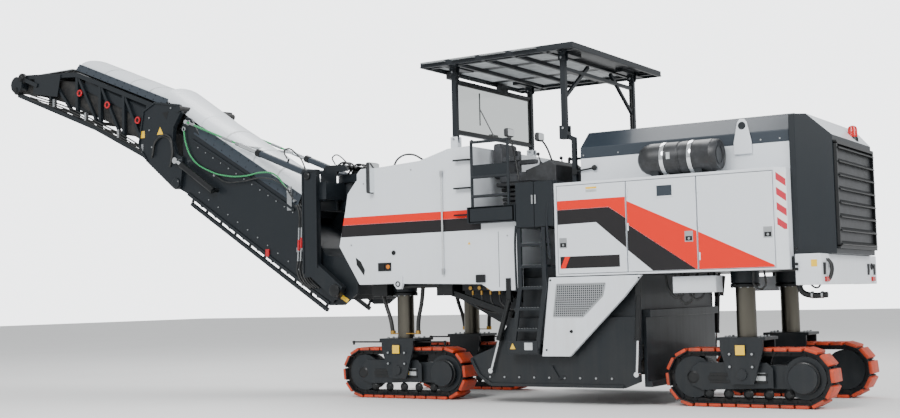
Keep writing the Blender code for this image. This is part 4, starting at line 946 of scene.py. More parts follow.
# name, finish and outline of each flat piece on the sides of the front hull
HULL_FILMS = [
    ("red", SIGNAL, [(-4.905, 2.20), (-3.10, 2.20), (-3.10, 2.107), (-4.925, 2.107)]),
    ("grey", SHADOW, [(-4.927, 2.105), (-2.945, 2.105), (-2.945, 1.962), (-4.955, 1.962)]),
    # the slot is painted shade: a black film where the recess is
    ("slot", BLACK, [(-4.737, 1.709), (-4.662, 1.656), (-4.602, 1.553), (-4.616, 1.483), (-4.726, 1.618)]),
    ("yellow", YELLOW, [(-3.13, 1.80), (-3.09, 1.80), (-3.11, 1.835)]),
    ("seam", CHARCOAL, box_outline(-2.722, -2.716, 1.30, 1.93))
]


def hull_details(side):
    """Stripes, sight tube, slot, lamp and foot pegs on one side of the front hull."""
    sign = SIDES[side]
    y = sign * HULL_SIDE
    for name, material, outline in HULL_FILMS:
        film(f"{side}_hull_{name}", "chassis", outline, material, y)
    dark = bmesh.new()
    block(dark, at(-4.40, y, 1.53), at(-4.21, y + sign * 0.012, 1.63))
    block(dark, at(-4.385, y, 1.545), at(-4.30, y + sign * 0.020, 1.615))
    spindle(dark, at(-4.17, y, 1.745), at(-4.17, y + sign * 0.012, 1.745), 0.028, 20)
    for z in (2.775, 2.45, 2.14):
        beam(dark, at(-3.27, y + sign * 0.045, z), at(-3.05, y + sign * 0.045, z), 0.018, 0.05)
        for x in (-3.24, -3.08):
            beam(dark, at(x, y, z), at(x, y + sign * 0.045, z), 0.016, 0.016)
    made_piece(dark, f"{side}_hull_trim", "chassis", BLACK, 0.002)
    lens = bmesh.new()
    spindle(lens, at(-4.25, y + sign * 0.010, 1.58), at(-4.25, y + sign * 0.020, 1.58), 0.026, 20)
    made_piece(lens, f"{side}_marker_lens", "chassis", AMBER_LENS, 0.003)
    tube, ends = bmesh.new(), bmesh.new()
    tube_x, foot_z, head_z = -3.46, 1.50, 2.64  # the sight tube's line and its two ends
    line_y = y + sign * 0.022
    spindle(tube, at(tube_x, line_y, foot_z), at(tube_x, line_y, head_z), 0.011, 14)
    made_piece(tube, f"{side}_sight_tube", "chassis", LENS)
    for z in (foot_z, head_z):
        spindle(ends, at(tube_x, line_y, z - 0.035), at(tube_x, line_y, z + 0.035), 0.018, 12)
        spindle(ends, at(tube_x, y, z), at(tube_x, y + sign * 0.030, z), 0.012, 6)
    made_piece(ends, f"{side}_sight_tube_ends", "chassis", ZINC, 0.001)
    lug = bmesh.new()
    side_sheet(
        lug, [(-4.16, 1.46), (-4.16, 1.36), (-4.12, 1.31), (-4.06, 1.31), (-4.04, 1.36), (-4.04, 1.46)],
        y * 0.985, sign * 0.045
    )
    made_piece(lug, f"{side}_tie_down_lug", "chassis", WHITE, 0.004)
    eye = bmesh.new()
    ring(eye, at(-4.10, y + sign * 0.032, 1.37), (0, 1, 0), 0.028, 0.007)
    made_piece(eye, f"{side}_tie_down_ring", "chassis", BLACK)
    caps = [
        at(x, y, z) for x,
        z in ((-4.80, 1.86), (-4.60, 2.60), (-3.90, 2.72), (-2.60, 1.34), (-3.00, 1.42), (-2.60, 1.88))
    ]
    screws = bmesh.new()
    bolt_heads(screws, caps, (0, sign, 0), 0.010, 0.006)
    made_piece(screws, f"{side}_hull_screws", "chassis", ZINC)
    lamp_body = bmesh.new()
    block(lamp_body, at(-3.02, y * 0.96, 1.36), at(-2.90, y + sign * 0.03, 1.45))
    made_piece(lamp_body, f"{side}_step_lamp", "chassis", BLACK, 0.008)


def mirror(name, body, foot, head, size):
    """A driving mirror on a bent arm: a moulded shell with the glass set in its rear."""
    hose(
        name + "_arm", body, [foot, (Vector(foot) + Vector(head)) / 2 + Vector((0, 0, 0.05)), head], 0.011,
        BLACK
    )
    shell, glass = bmesh.new(), bmesh.new()
    width, height = size
    head = Vector(head)
    block(shell, head - Vector((0.03, width / 2, height / 2)), head + Vector((0.03, width / 2, height / 2)))
    block(
        glass, head + Vector((0.028, 0.012 - width / 2, 0.012 - height / 2)),
        head + Vector((0.033, width / 2 - 0.012, height / 2 - 0.012))
    )
    made_piece(shell, name + "_shell", body, PLASTIC, 0.022)
    made_piece(glass, name + "_glass", body, MIRROR)


for side in SIDES:
    door_films(side)
    hazard_bars(side)
    skirt_details(side)
    hull_details(side)
    sign = SIDES[side]
    mirror(
        f"{side}_front_mirror", "chassis", at(-4.47, sign * 1.02, 2.50), at(-4.47, sign * 1.14, 2.66),
        (0.22, 0.38)
    )


def front_lugs():
    """The two lifting eyes on the nose of the hull."""
    outline = [(-4.80, 2.56), (-4.80, 2.74), (-4.74, 2.80), (-4.66, 2.80), (-4.60, 2.74), (-4.55, 2.66)]
    lugs, eyes = bmesh.new(), bmesh.new()
    for sign in (-1, 1):
        side_sheet(lugs, outline, sign * 1.02, sign * -0.03)
        ring(eyes, at(-4.69, sign * 1.005, 2.73), (0, 1, 0), 0.032, 0.010)
    made_piece(lugs, "front_lifting_lugs", "chassis", WHITE, 0.006)
    made_piece(eyes, "front_lifting_eyes", "chassis", BLACK)


front_lugs()

# ---------------------------------------------------------------- hood, air cleaner, rear cowl


def air_cleaner():
    """A round canister with a domed inlet, ribs, two clamp bands and a ringed rear lid."""
    low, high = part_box("air_cleaner")
    y = (low.y + high.y) / 2
    radius = (high.y - low.y) / 2
    z = high.z - radius
    start, end = Vector((low.x, y, z)), Vector((high.x, y, z))
    bm = bmesh.new()
    profile = [(0, 0), (0.012, 0.45), (0.045, 0.72), (0.09, 0.88), (0.15, 0.97), (0.19, 0.99)]
    profile += [(0.20, 0.985), (0.52, 0.985), (0.53, 0.94), (0.55, 0.94), (0.56, 0.985), (0.90, 0.985)]
    profile += [
        (0.905, 1.0), (0.925, 1.0), (0.93, 0.97), (0.985, 0.95), (1.0, 0.90), (0.985, 0.84), (0.98, 0.0)
    ]
    turned(bm, start, end, [(share, r * radius) for share, r in profile], 48)
    made = made_piece(bm, "air_cleaner_canister", "chassis", PLASTIC)
    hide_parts("air_cleaner")
    bands = bmesh.new()
    for x in (-0.66, -0.355):
        centre = x + AXLE_X
        turned(
            bands, (centre - 0.021, y, z), (centre + 0.021, y, z),
            [
                (0, radius * 0.95), (0, radius * 1.012), (0.2, radius * 1.022), (0.8, radius * 1.022),
                (1, radius * 1.012), (1, radius * 0.95)
            ],
            48
        )
        block(
            bands, (centre - 0.03, y - 0.03, z - radius - 0.004),
            (centre + 0.03, y + 0.03, z - radius + 0.012)
        )
    made_piece(bands, "air_cleaner_bands", "chassis", CHROME)
    feet = bmesh.new()
    for x in (-0.76, -0.28):
        block(feet, at(x - 0.04, y - 0.10, low.z), at(x + 0.04, y + 0.10, z - radius * 0.7))
    made_piece(feet, "air_cleaner_feet", "chassis", CHARCOAL, 0.004)
    tag = bmesh.new()
    ring(tag, end - Vector((0.012, 0, 0)), (1, 0, 0), radius * 0.55, 0.006, 32)
    made_piece(tag, "air_cleaner_lid_bead", "chassis", PLASTIC)
    film("air_cleaner_label", "chassis", box_outline(-0.60, -0.56, 2.58, 2.65), PALE, y - radius * 0.985)


air_cleaner()


def engine_side_details():
    """Lifting eyes beside the hood, the grab handle and the fasteners of the hood."""
    plates, rims = bmesh.new(), bmesh.new()
    for sign in (-1, 1):
        y = sign * (BODY_SIDE + 0.008)
        outline = [
            (0.02, 2.60), (0.21, 2.60), (0.21, 2.72), (0.165, 2.93), (0.14, 2.965), (0.09, 2.965),
            (0.065, 2.93), (0.02, 2.72)
        ]
        side_sheet(plates, outline, y, sign * 0.022)
        ring(rims, at(0.115, y + sign * 0.022, 2.895), (0, 1, 0), 0.034, 0.007)
        spindle(rims, at(0.115, y, 2.895), at(0.115, y + sign * 0.0235, 2.895), 0.030, 20)
    made_piece(plates, "body_lifting_eyes", "chassis", WHITE, 0.005)
    made_piece(rims, "body_lifting_rims", "chassis", CHARCOAL)
    handle = bmesh.new()
    spindle(handle, at(-1.82, -0.965, 2.56), at(-1.60, -0.965, 2.585), 0.010, 12)
    bmesh.ops.create_icosphere(
        handle, subdivisions=3, radius=0.032, matrix=Matrix.Translation(at(-1.58, -0.965, 2.587))
    )
    block(handle, at(-1.85, -0.975, 2.53), at(-1.79, -0.94, 2.59))
    made_piece(handle, "body_lever", "chassis", BLACK)
    screws = bmesh.new()
    spots = [at(x, -BODY_SIDE, 2.735) for x in (-1.72, -1.30, -0.88, -0.46, 0.30, 0.50)]
    bolt_heads(screws, spots, (0, -1, 0), 0.009, 0.005)
    made_piece(screws, "hood_screws", "hood", ZINC)


engine_side_details()


def cowl_details():
    """Louvres over the cooler in the back of the cowl, side trim, the beacon and the tail."""
    rear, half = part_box("rear_cowl")[1].x, 0.70
    bars, well = bmesh.new(), bmesh.new()
    # the dark gaps behind the louvres are painted shade: a dark plastic film across the back of the cowl
    block(well, (rear, -half, 1.63), (rear + THIN, half, 2.66))
    count = 8
    for i in range(count):
        z = 1.66 + i * (2.64 - 1.66) / (count - 1)
        placed_block(
            bars, Matrix.Translation((rear + 0.022, 0, z)) @ Matrix.Rotation(math.radians(38), 4, "Y"),
            (-0.034, -half + 0.02, -0.005), (0.034, half - 0.02, 0.005)
        )
    for y in (-half, half):
        block(bars, (rear, y - 0.018, 1.62), (rear + 0.034, y + 0.018, 2.68))
    for z in (1.62, 2.68):
        block(bars, (rear, -half - 0.018, z - 0.018), (rear + 0.034, half + 0.018, z + 0.018))
    made_piece(bars, "cowl_louvres", "chassis", BLACK, 0.002)
    made_piece(well, "cowl_well_painted_shade", "chassis", PLASTIC)
    glow, base = bmesh.new(), bmesh.new()
    lamp_x, lamp_y, lamp_z = 0.90, 0.30, 2.80
    turned(
        glow, at(lamp_x, lamp_y, lamp_z + 0.025), at(lamp_x, lamp_y, lamp_z + 0.15),
        [(0, 0), (0, 0.052), (0.7, 0.050), (0.9, 0.042), (1.0, 0.02), (1.0, 0.0)], 28
    )
    turned(
        base, at(lamp_x, lamp_y, lamp_z - 0.03), at(lamp_x, lamp_y, lamp_z + 0.03),
        [(0, 0), (0, 0.058), (0.6, 0.058), (1.0, 0.050), (1.0, 0)], 28
    )
    made_piece(glow, "beacon_lens", "chassis", RED_LENS)
    made_piece(base, "beacon_base", "chassis", BLACK, 0.002)
    tail_low, tail_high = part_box("tail_box")
    dark = bmesh.new()
    for y in (-0.95, -0.70, 0.70, 0.95):
        block(dark, (tail_high.x, y - 0.03, 1.34), (tail_high.x + 0.012, y + 0.03, 1.46))
    for y in (-0.78, 0.78):
        ring(dark, (tail_high.x + 0.02, y, 1.43), (1, 0, 0), 0.032, 0.008)
    made_piece(dark, "tail_fittings", "chassis", BLACK, 0.002)
    lamps = bmesh.new()
    for y in (-0.88, 0.88):
        block(lamps, (tail_high.x, y - 0.06, 1.27), (tail_high.x + 0.018, y + 0.06, 1.32))
    made_piece(lamps, "tail_lamps", "chassis", RED_LENS, 0.004)
    film("tail_yellow", "chassis", box_outline(0.80, 0.86, 1.42, 1.49), YELLOW, tail_low.y)
    knobs = bmesh.new()
    for z in (1.60, 1.45, 1.40):
        spindle(knobs, at(0.66, -1.062, z), at(0.66, -1.085, z), 0.016, 14)
    made_piece(knobs, "tail_knobs", "chassis", BLACK)
    hose(
        "tail_pipe", "chassis",
        [at(0.62, -0.88, 1.30), at(0.64, -0.88, 1.18), at(0.72, -0.88, 1.14), at(0.90, -0.88, 1.14)], 0.030,
        BLACK
    )
    collar = bmesh.new()
    for x in (0.74, 0.84):
        spindle(collar, at(x, -0.88, 1.14), at(x + 0.018, -0.88, 1.14), 0.037, 18)
    made_piece(collar, "tail_pipe_collars", "chassis", ZINC)
    for y in (-0.86, -0.80):
        hose(
            f"tail_hose_{y}", "chassis",
            [
                (tail_high.x, y, 1.50), (tail_high.x + 0.04, y, 1.44), (tail_high.x + 0.02, y + 0.02, 1.32),
                (tail_high.x, y, 1.28)
            ],
            0.011
        )


cowl_details()

# ----------------------------------------------------------- operator's platform, seat, console


def cushion(name, low, high, crown, axis):
    """A crowned foam pad in a vinyl cover."""
    low, high = Vector(low), Vector(high)
    bm = bmesh.new()
    block(bm, low, high)
    bmesh.ops.subdivide_edges(bm, edges=bm.edges, cuts=5, use_grid_fill=True)
    centre, half = (low + high) / 2, (high - low) / 2
    for vert in bm.verts:
        place = [(vert.co[i] - centre[i]) / half[i] for i in range(3)]
        rim = 1.0
        for i in range(3):
            if i != axis:
                rim *= 1.0 - abs(place[i]) ** 3
        vert.co[axis] += math.copysign(crown * rim, place[axis]) * abs(place[axis])
    for edge in bm.edges:
        edge.smooth = True
    mesh = bpy.data.meshes.new(name)
    bm.to_mesh(mesh)
    bm.free()
    piece = bpy.data.objects.new(name, mesh)
    bpy.context.scene.collection.objects.link(piece)
    mesh.materials.append(VINYL)
    mesh.shade_smooth()
    soft = piece.modifiers.new("soft", "SUBSURF")
    soft.levels = 2
    soft.render_levels = 2
    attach(piece, "chassis")
    return piece


def seat():
    """A suspension seat: foot, pan, cushion, back with bolsters, and armrests."""
    low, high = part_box("operator_seat")
    x, floor = low.x, low.z
    base = bmesh.new()
    for i in range(4):
        z = floor + 0.04 + i * 0.055
        block(base, (x + 0.06 - 0.006 * i, low.y + 0.12, z), (x + 0.34 + 0.006 * i, high.y - 0.12, z + 0.045))
    block(base, (x + 0.04, low.y + 0.08, floor), (x + 0.36, high.y - 0.08, floor + 0.04))
    block(base, (x + 0.03, low.y + 0.03, floor + 0.26), (x + 0.49, high.y - 0.03, floor + 0.31))
    made = made_piece(base, "seat_base", "chassis", PLASTIC, 0.012)
    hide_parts("operator_seat")
    cushion(
        "seat_cushion", (x + 0.07, low.y + 0.02, floor + 0.30), (x + 0.50, high.y - 0.02, floor + 0.41),
        0.022, 2
    )
    cushion(
        "seat_back_cushion", (x, low.y + 0.03, floor + 0.36), (x + 0.09, high.y - 0.03, floor + 0.78), 0.022,
        0
    )
    for y in (low.y + 0.035, high.y - 0.035):
        cushion(
            f"seat_bolster_{'left' if y < -0.5 else 'right'}", (x + 0.05, y - 0.035, floor + 0.40),
            (x + 0.13, y + 0.035, floor + 0.72), 0.008, 0
        )
        cushion(
            f"armrest_{'left' if y < -0.5 else 'right'}", (x + 0.08, y - 0.03, floor + 0.55),
            (x + 0.36, y + 0.03, floor + 0.60), 0.006, 2
        )


seat()


def console():
    """Instrument panel: two screens, switches and two levers on its sloping face."""
    front = at(-2.44, 0, 2.62)
    back = at(-2.12, 0, 2.72)
    run = (back - front).normalized()
    up = Vector((-run.z, 0, run.x))

    def on_desk(share, y, lift=0.0):
        spot = front.lerp(back, share) + up * lift
        return Vector((spot.x, y, spot.z))

    trim, screens, knobs = bmesh.new(), bmesh.new(), bmesh.new()
    for i, y in enumerate((-0.86, -0.42)):
        place, length = along(on_desk(0.25, y), on_desk(0.75, y))
        bmesh.ops.create_cube(screens, size=1.0, matrix=place @ Matrix.Diagonal((0.014, 0.16, length, 1)))
    for i in range(7):
        for row in (0.2, 0.5, 0.8):
            spot = on_desk(row, -0.76 + i * 0.042)
            spindle(knobs, spot, spot + up * 0.018, 0.011, 10)
    for y in (-0.92, -0.36):
        foot = on_desk(0.55, y)
        spindle(trim, foot, foot + up * 0.12, 0.007, 10)
        bmesh.ops.create_icosphere(
            trim, subdivisions=2, radius=0.022, matrix=Matrix.Translation(foot + up * 0.13)
        )
        spindle(trim, foot, foot + up * 0.035, 0.030, 16, 0.010)
    made_piece(screens, "console_screens", "chassis", GLASS, 0.002)
    made_piece(knobs, "console_switches", "chassis", ZINC)
    made_piece(trim, "console_levers", "chassis", PLASTIC)


console()


def platform_details():
    """Tread plate bosses, side step boxes, mirrors and door handles of the stand."""
    deck = 2.22  # the top of the platform's floor
    treads = bmesh.new()
    for i in range(11):
        for j in range(24):
            x, y = -3.02 + i * 0.085 + (0.04 if j % 2 else 0), -1.15 + j * 0.1
            if x <= -2.46:
                start, end = at(x - 0.014, y - 0.014, deck + 0.001), at(x + 0.014, y + 0.014, deck + 0.001)
                beam(treads, start, end, 0.004, 0.008)
    made_piece(treads, "floor_studs", "chassis", ZINC)
    boxes = bmesh.new()
    for sign in (-1, 1):
        y = sign * 1.25
        block(boxes, at(-3.05, y, 2.03), at(-2.45, y - sign * 0.20, 2.215))
        block(boxes, at(-3.03, y + sign * 0.004, 2.05), at(-2.47, y, 2.20))
    made_piece(boxes, "step_boxes", "chassis", CHARCOAL, 0.006)
    caps = bmesh.new()
    for sign in (-1, 1):
        for x in (-3.0, -2.5):
            bmesh.ops.create_icosphere(
                caps, subdivisions=2, radius=0.021, matrix=Matrix.Translation(at(x, sign * 1.22, 2.975))
            )
    made_piece(caps, "rail_caps", "chassis", PLASTIC)
    for door, x in (("cabinet_fore_door", -2.22), ("cabinet_aft_door", -2.18)):
        handle = bmesh.new()
        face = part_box(door + "_panel")[0].y
        block(handle, at(x - 0.010, face - 0.010, 2.21), at(x + 0.010, face, 2.31))
        made_piece(handle, door + "_handle", door, ZINC, 0.003)
    low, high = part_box("equipment_cabinet")
    top = bmesh.new()
    for i in range(5):
        x = low.x + 0.06 + i * 0.09
        block(top, (x, low.y + 0.05, high.z), (x + 0.03, high.y - 0.05, high.z + 0.008))
    made_piece(top, "cabinet_top_ribs", "chassis", CHARCOAL, 0.002)
    mirror("platform_mirror", "chassis", at(-2.46, -1.10, 2.50), at(-2.62, -1.02, 3.06), (0.16, 0.10))
    mirror("console_mirror", "chassis", at(-2.10, -0.94, 2.66), at(-2.24, -1.00, 2.98), (0.14, 0.10))


platform_details()


# name and line of each grip rail beside a ladder, its Y away from the middle plane
HAND_RAILS = [
    ("ladder_rail", [(-2.44, 1.235, 1.98), (-2.45, 1.24, 1.85), (-2.452, 1.24, 1.45), (-2.45, 1.235, 1.25)]),
    ("entry_rail", [(-2.02, 1.232, 1.60), (-2.03, 1.24, 1.72), (-2.04, 1.24, 2.10), (-2.02, 1.232, 2.22)])
]


def ladder_details():
    """Grip strips on the treads, and the kick plate beside the lowest of them."""
    for side, sign in SIDES.items():
        grips = bmesh.new()
        for z, shift in ((1.76, 0), (1.52, 0), (1.28, 0), (1.05, 0.04), (0.82, 0.07)):
            for i in range(9):
                x = -2.40 + i * 0.036 - shift
                block(grips, at(x, sign * 1.17, z + 0.014), at(x + 0.012, sign * 1.245, z + 0.020))
        made_piece(grips, f"{side}_ladder_grips", "chassis", ZINC)
        plate = bmesh.new()
        block(plate, at(-2.57, sign * 1.245, 0.56), at(-2.20, sign * 1.255, 0.70))
        made_piece(plate, f"{side}_ladder_plate", "chassis", CHARCOAL, 0.003)
        film(f"{side}_ladder_label", "chassis", box_outline(-2.36, -2.26, 0.60, 0.68), PALE, sign * 1.255)
        film(
            f"{side}_ladder_warning", "chassis", [(-2.545, 0.61), (-2.475, 0.61), (-2.51, 0.675)], YELLOW,
            sign * 1.255
        )
        for name, line in HAND_RAILS:
            hose(f"{side}_{name}", "chassis", [at(x, sign * y, z) for x, y, z in line], 0.013, CHARCOAL)


ladder_details()

# ------------------------------------------------------------------------------------- canopy


def canopy_details():
    """Roof lining ribs, gutter, wiper, pull springs, lamps and hinge bolts."""
    posts = (-0.92, 0.92)  # the middle planes of the posts on the two sides
    ribs = bmesh.new()
    span = ROOF_HIGH.x - ROOF_LOW.x
    for i in range(1, 5):
        for j in range(3):
            x = ROOF_LOW.x + span * (i - 0.5) / 5
            y = -0.9 + 0.9 * j
            block(ribs, (x - 0.16, y - 0.38, ROOF_HIGH.z - 0.024), (x + 0.16, y + 0.38, ROOF_HIGH.z - 0.020))
    made_piece(ribs, "roof_lining", "canopy_roof", PALE, 0.002)
    gutter = bmesh.new()
    for y in (ROOF_LOW.y, ROOF_HIGH.y):
        out = math.copysign(0.006, y)
        block(gutter, (ROOF_LOW.x, y - out, ROOF_HIGH.z - 0.066), (ROOF_HIGH.x, y + out, ROOF_HIGH.z - 0.054))
    for x in (ROOF_LOW.x, ROOF_HIGH.x):
        block(
            gutter, (x - 0.006, ROOF_LOW.y, ROOF_HIGH.z - 0.066),
            (x + 0.006, ROOF_HIGH.y, ROOF_HIGH.z - 0.054)
        )
    made_piece(gutter, "roof_gutter", "canopy_roof", CHARCOAL, 0.002)
    tie = bmesh.new()
    for y in (-1.05, 1.05):
        beam(
            tie, (ROOF_LOW.x + 0.05, y, ROOF_HIGH.z - 0.045), (ROOF_HIGH.x - 0.05, y, ROOF_HIGH.z - 0.045),
            0.03, 0.04
        )
    made_piece(tie, "roof_side_rails", "canopy_roof", CHARCOAL, 0.003)
    lamps, lenses = bmesh.new(), bmesh.new()
    for y in (-0.60, 0.60):
        block(
            lamps, (ROOF_LOW.x + 0.02, y - 0.09, ROOF_HIGH.z - 0.13),
            (ROOF_LOW.x + 0.10, y + 0.09, ROOF_HIGH.z - 0.04)
        )
        block(
            lenses, (ROOF_LOW.x + 0.012, y - 0.075, ROOF_HIGH.z - 0.118),
            (ROOF_LOW.x + 0.022, y + 0.075, ROOF_HIGH.z - 0.052)
        )
    made_piece(lamps, "roof_lamps", "canopy_roof", PLASTIC, 0.008)
    made_piece(lenses, "roof_lamp_lenses", "canopy_roof", LENS, 0.003)
    low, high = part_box("windscreen")
    x = low.x - 0.012
    wiper = bmesh.new()
    block(wiper, (x - 0.04, -0.08, low.z - 0.02), (x + 0.006, 0.08, low.z + 0.04))
    beam(wiper, (x - 0.01, 0.0, low.z + 0.02), (x - 0.008, -0.34, low.z + 0.34), 0.012, 0.010)
    beam(wiper, (x, -0.34, low.z + 0.12), (x, -0.34, low.z + 0.52), 0.016, 0.008)
    made_piece(wiper, "windscreen_wiper", "canopy_front", PLASTIC, 0.002)
    gasket = bmesh.new()
    for z in (low.z + 0.004, high.z - 0.004):
        block(gasket, (low.x - 0.006, low.y, z - 0.010), (high.x + 0.006, high.y, z + 0.010))
    for y in (low.y + 0.006, high.y - 0.006):
        block(gasket, (low.x - 0.006, y - 0.008, low.z), (high.x + 0.006, y + 0.008, high.z))
    made_piece(gasket, "windscreen_gasket", "canopy_front", HOSE)
    for body, x in (("canopy_front", -3.40), ("canopy_rear", -1.95)):
        pins = bmesh.new()
        for y in posts:
            for z in (3.06, 3.86):
                spindle(pins, at(x, y - 0.062, z), at(x, y + 0.062, z), 0.013, 12)
        made_piece(pins, f"{body}_hinge_pins", body, ZINC, 0.001)
    struts = bmesh.new()
    for y in posts:
        spindle(struts, at(-1.95, y * 0.965, 3.20), at(-1.95, y * 0.965, 3.60), 0.018, 14)
        spindle(struts, at(-1.95, y * 0.965, 3.55), at(-1.95, y * 0.965, 3.78), 0.008, 10)
    made_piece(struts, "canopy_gas_struts", "canopy_rear", BLACK)


canopy_details()

# --------------------------------------------------------------------------- belt conveyors

LOWER_EDGE = [(-8.02, 3.60), (-7.0, 2.985), (-6.16, 2.475)]  # top edge of the lower side plates
UPPER_EDGE = [(-11.20, 4.80), (-10.46, 4.745), (-9.40, 4.33), (-8.60, 4.015)]  # top chord


def swept_sheet(name, body, line, section, material, thickness=0.008):
    """A thin shell: a section of (y, height) points swept along a line of (x, z) points."""
    bm = bmesh.new()
    x, z = line[0]
    row = [bm.verts.new(at(x, y, z + height)) for y, height in section]
    edges = [bm.edges.new(pair) for pair in zip(row, row[1:])]
    for (x0, z0), (x1, z1) in zip(line, line[1:]):
        swept = bmesh.ops.extrude_edge_only(bm, edges=edges)["geom"]
        moved = [v for v in swept if isinstance(v, bmesh.types.BMVert)]
        bmesh.ops.translate(bm, verts=moved, vec=(x1 - x0, 0, z1 - z0))
        edges = [e for e in swept if isinstance(e, bmesh.types.BMEdge) and all(v in moved for v in e.verts)]
    bmesh.ops.recalc_face_normals(bm, faces=bm.faces)
    bmesh.ops.solidify(bm, geom=bm.faces[:], thickness=thickness)
    return made_piece(bm, name, body, material, corner=40)


def crown(half, base, rise, steps=12):
    turns = [math.pi * i / steps for i in range(steps + 1)]
    return [(half * math.cos(turn), base + rise * math.sin(turn)) for turn in turns]


def strips(name, body, line, lower, upper):
    """Sloping metal strips on both sides of a cover, with a row of rivets along each."""
    for side, sign in SIDES.items():
        swept_sheet(
            f"{name}_{side}_strip", body, line, [(sign * lower[0], lower[1]), (sign * upper[0], upper[1])],
            SLATE
        )
    rivets = bmesh.new()
    for sign in (-1, 1):
        lean = Vector((0, sign * (upper[1] - lower[1]), lower[0] - upper[0])).normalized()
        for (x0, z0), (x1, z1) in zip(line, line[1:]):
            count = max(2, int(math.hypot(x1 - x0, z1 - z0) / 0.16))
            for i in range(count):
                share = (i + 0.5) / count
                for rise in (0.2, 0.8):
                    spot = at(
                        x0 + (x1 - x0) * share, sign * (lower[0] + (upper[0] - lower[0]) * rise),
                        z0 + (z1 - z0) * share + lower[1] + (upper[1] - lower[1]) * rise
                    )
                    bolt_heads(rivets, [spot + lean * 0.003], lean, 0.007, 0.005)
    made_piece(rivets, f"{name}_rivets", body, BLACK)


def cover_seams(name, body, line, half, base, rise, count):
    """Folded seams across a crowned cover."""
    for i in range(1, count):
        share = i / count * (len(line) - 1)
        step = min(int(share), len(line) - 2)
        (x0, z0), (x1, z1) = line[step], line[step + 1]
        x = x0 + (x1 - x0) * (share - step)
        z = z0 + (z1 - z0) * (share - step)
        grade = (z1 - z0) / (x1 - x0)
        section = [(y, h + 0.002) for y, h in crown(half, base, rise)]
        swept_sheet(
            f"{name}_seam_{i}", body, [(x - 0.012, z - 0.012 * grade), (x + 0.012, z + 0.012 * grade)],
            section, PALE, 0.010
        )


swept_sheet("lower_cover", "lower_conveyor", LOWER_EDGE, crown(0.42, 0.12, 0.20), WHITE)
cover_seams("lower_cover", "lower_conveyor", LOWER_EDGE, 0.42, 0.12, 0.20, 4)
strips("lower_cover", "lower_conveyor", LOWER_EDGE, (0.515, -0.02), (0.425, 0.13))
swept_sheet("upper_cover", "upper_conveyor", UPPER_EDGE[1:], crown(0.42, 0.07, 0.165), WHITE)
cover_seams("upper_cover", "upper_conveyor", UPPER_EDGE[1:], 0.42, 0.07, 0.165, 4)
strips("upper_cover", "upper_conveyor", UPPER_EDGE[1:], (0.50, 0.03), (0.425, 0.13))


def head_of_conveyor():
    """The discharge end: side boxes, flap, drum discs and tensioners."""
    boxes, discs, flap = bmesh.new(), bmesh.new(), bmesh.new()
    outline = [(-11.42, 4.50), (-10.86, 4.40), (-10.78, 4.74), (-11.36, 4.80)]
    for sign in (-1, 1):
        side_sheet(boxes, outline, sign * 0.508, sign * 0.012)
        for x, z, radius in ((-11.66, 4.77, 0.085), (-11.77, 4.60, 0.075)):
            turned(
                discs, at(x, sign * 0.50, z), at(x, sign * 0.575, z),
                [(0, 0), (0, radius), (0.55, radius), (0.6, radius * 0.6), (1.0, radius * 0.5), (1.0, 0)], 28
            )
        beam(boxes, at(-11.66, sign * 0.53, 4.77), at(-11.30, sign * 0.53, 4.62), 0.06, 0.02)
    block(flap, at(-11.55, -0.44, 4.805), at(-10.60, 0.44, 4.818))
    made_piece(boxes, "conveyor_head_boxes", "upper_conveyor", CHARCOAL, 0.004)
    made_piece(discs, "conveyor_head_discs", "upper_conveyor", BLACK, 0.003)
    made_piece(flap, "conveyor_head_flap", "upper_conveyor", PALE, 0.003)
    rollers, rings = bmesh.new(), bmesh.new()
    for x, z in ((-10.384, 4.41), (-9.785, 4.17), (-9.152, 3.88), (-10.95, 4.56)):
        spindle(rollers, at(x, -0.49, z), at(x, 0.49, z), 0.034, 16)
        for sign in (-1, 1):
            ring(rings, at(x, sign * 0.495, z), (0, 1, 0), 0.042, 0.013)
    made_piece(rollers, "conveyor_rollers", "upper_conveyor", FORGED)
    made_piece(rings, "conveyor_roller_rings", "upper_conveyor", RED_METAL)
    low = [(-11.45, 4.42), (-10.60, 4.14), (-9.90, 3.83), (-9.20, 3.50), (-8.80, 3.26)]
    for i in range(3):
        points = [at(x, -0.525 - 0.012 * (i % 2), z + 0.035 * i) for x, z in low]
        hose(f"head_hose_{i}", "upper_conveyor", points, 0.011)
    clamps = bmesh.new()
    for x, z in ((-10.9, 4.275), (-10.2, 4.00), (-9.5, 3.68), (-9.0, 3.42)):
        block(clamps, at(x - 0.02, -0.555, z - 0.03), at(x + 0.02, -0.50, z + 0.09))
    made_piece(clamps, "head_hose_clamps", "upper_conveyor", ZINC, 0.002)
    for i in range(2):
        points = [(-8.80, 3.30), (-8.72, 3.52), (-8.48, 3.56), (-8.40, 3.36), (-8.44, 3.14)]
        hose(
            f"fold_hose_{i}", "upper_conveyor",
            [at(x + 0.03 * i, -0.562 - 0.018 * i, z + 0.02 * i) for x, z in points], 0.012
        )


head_of_conveyor()


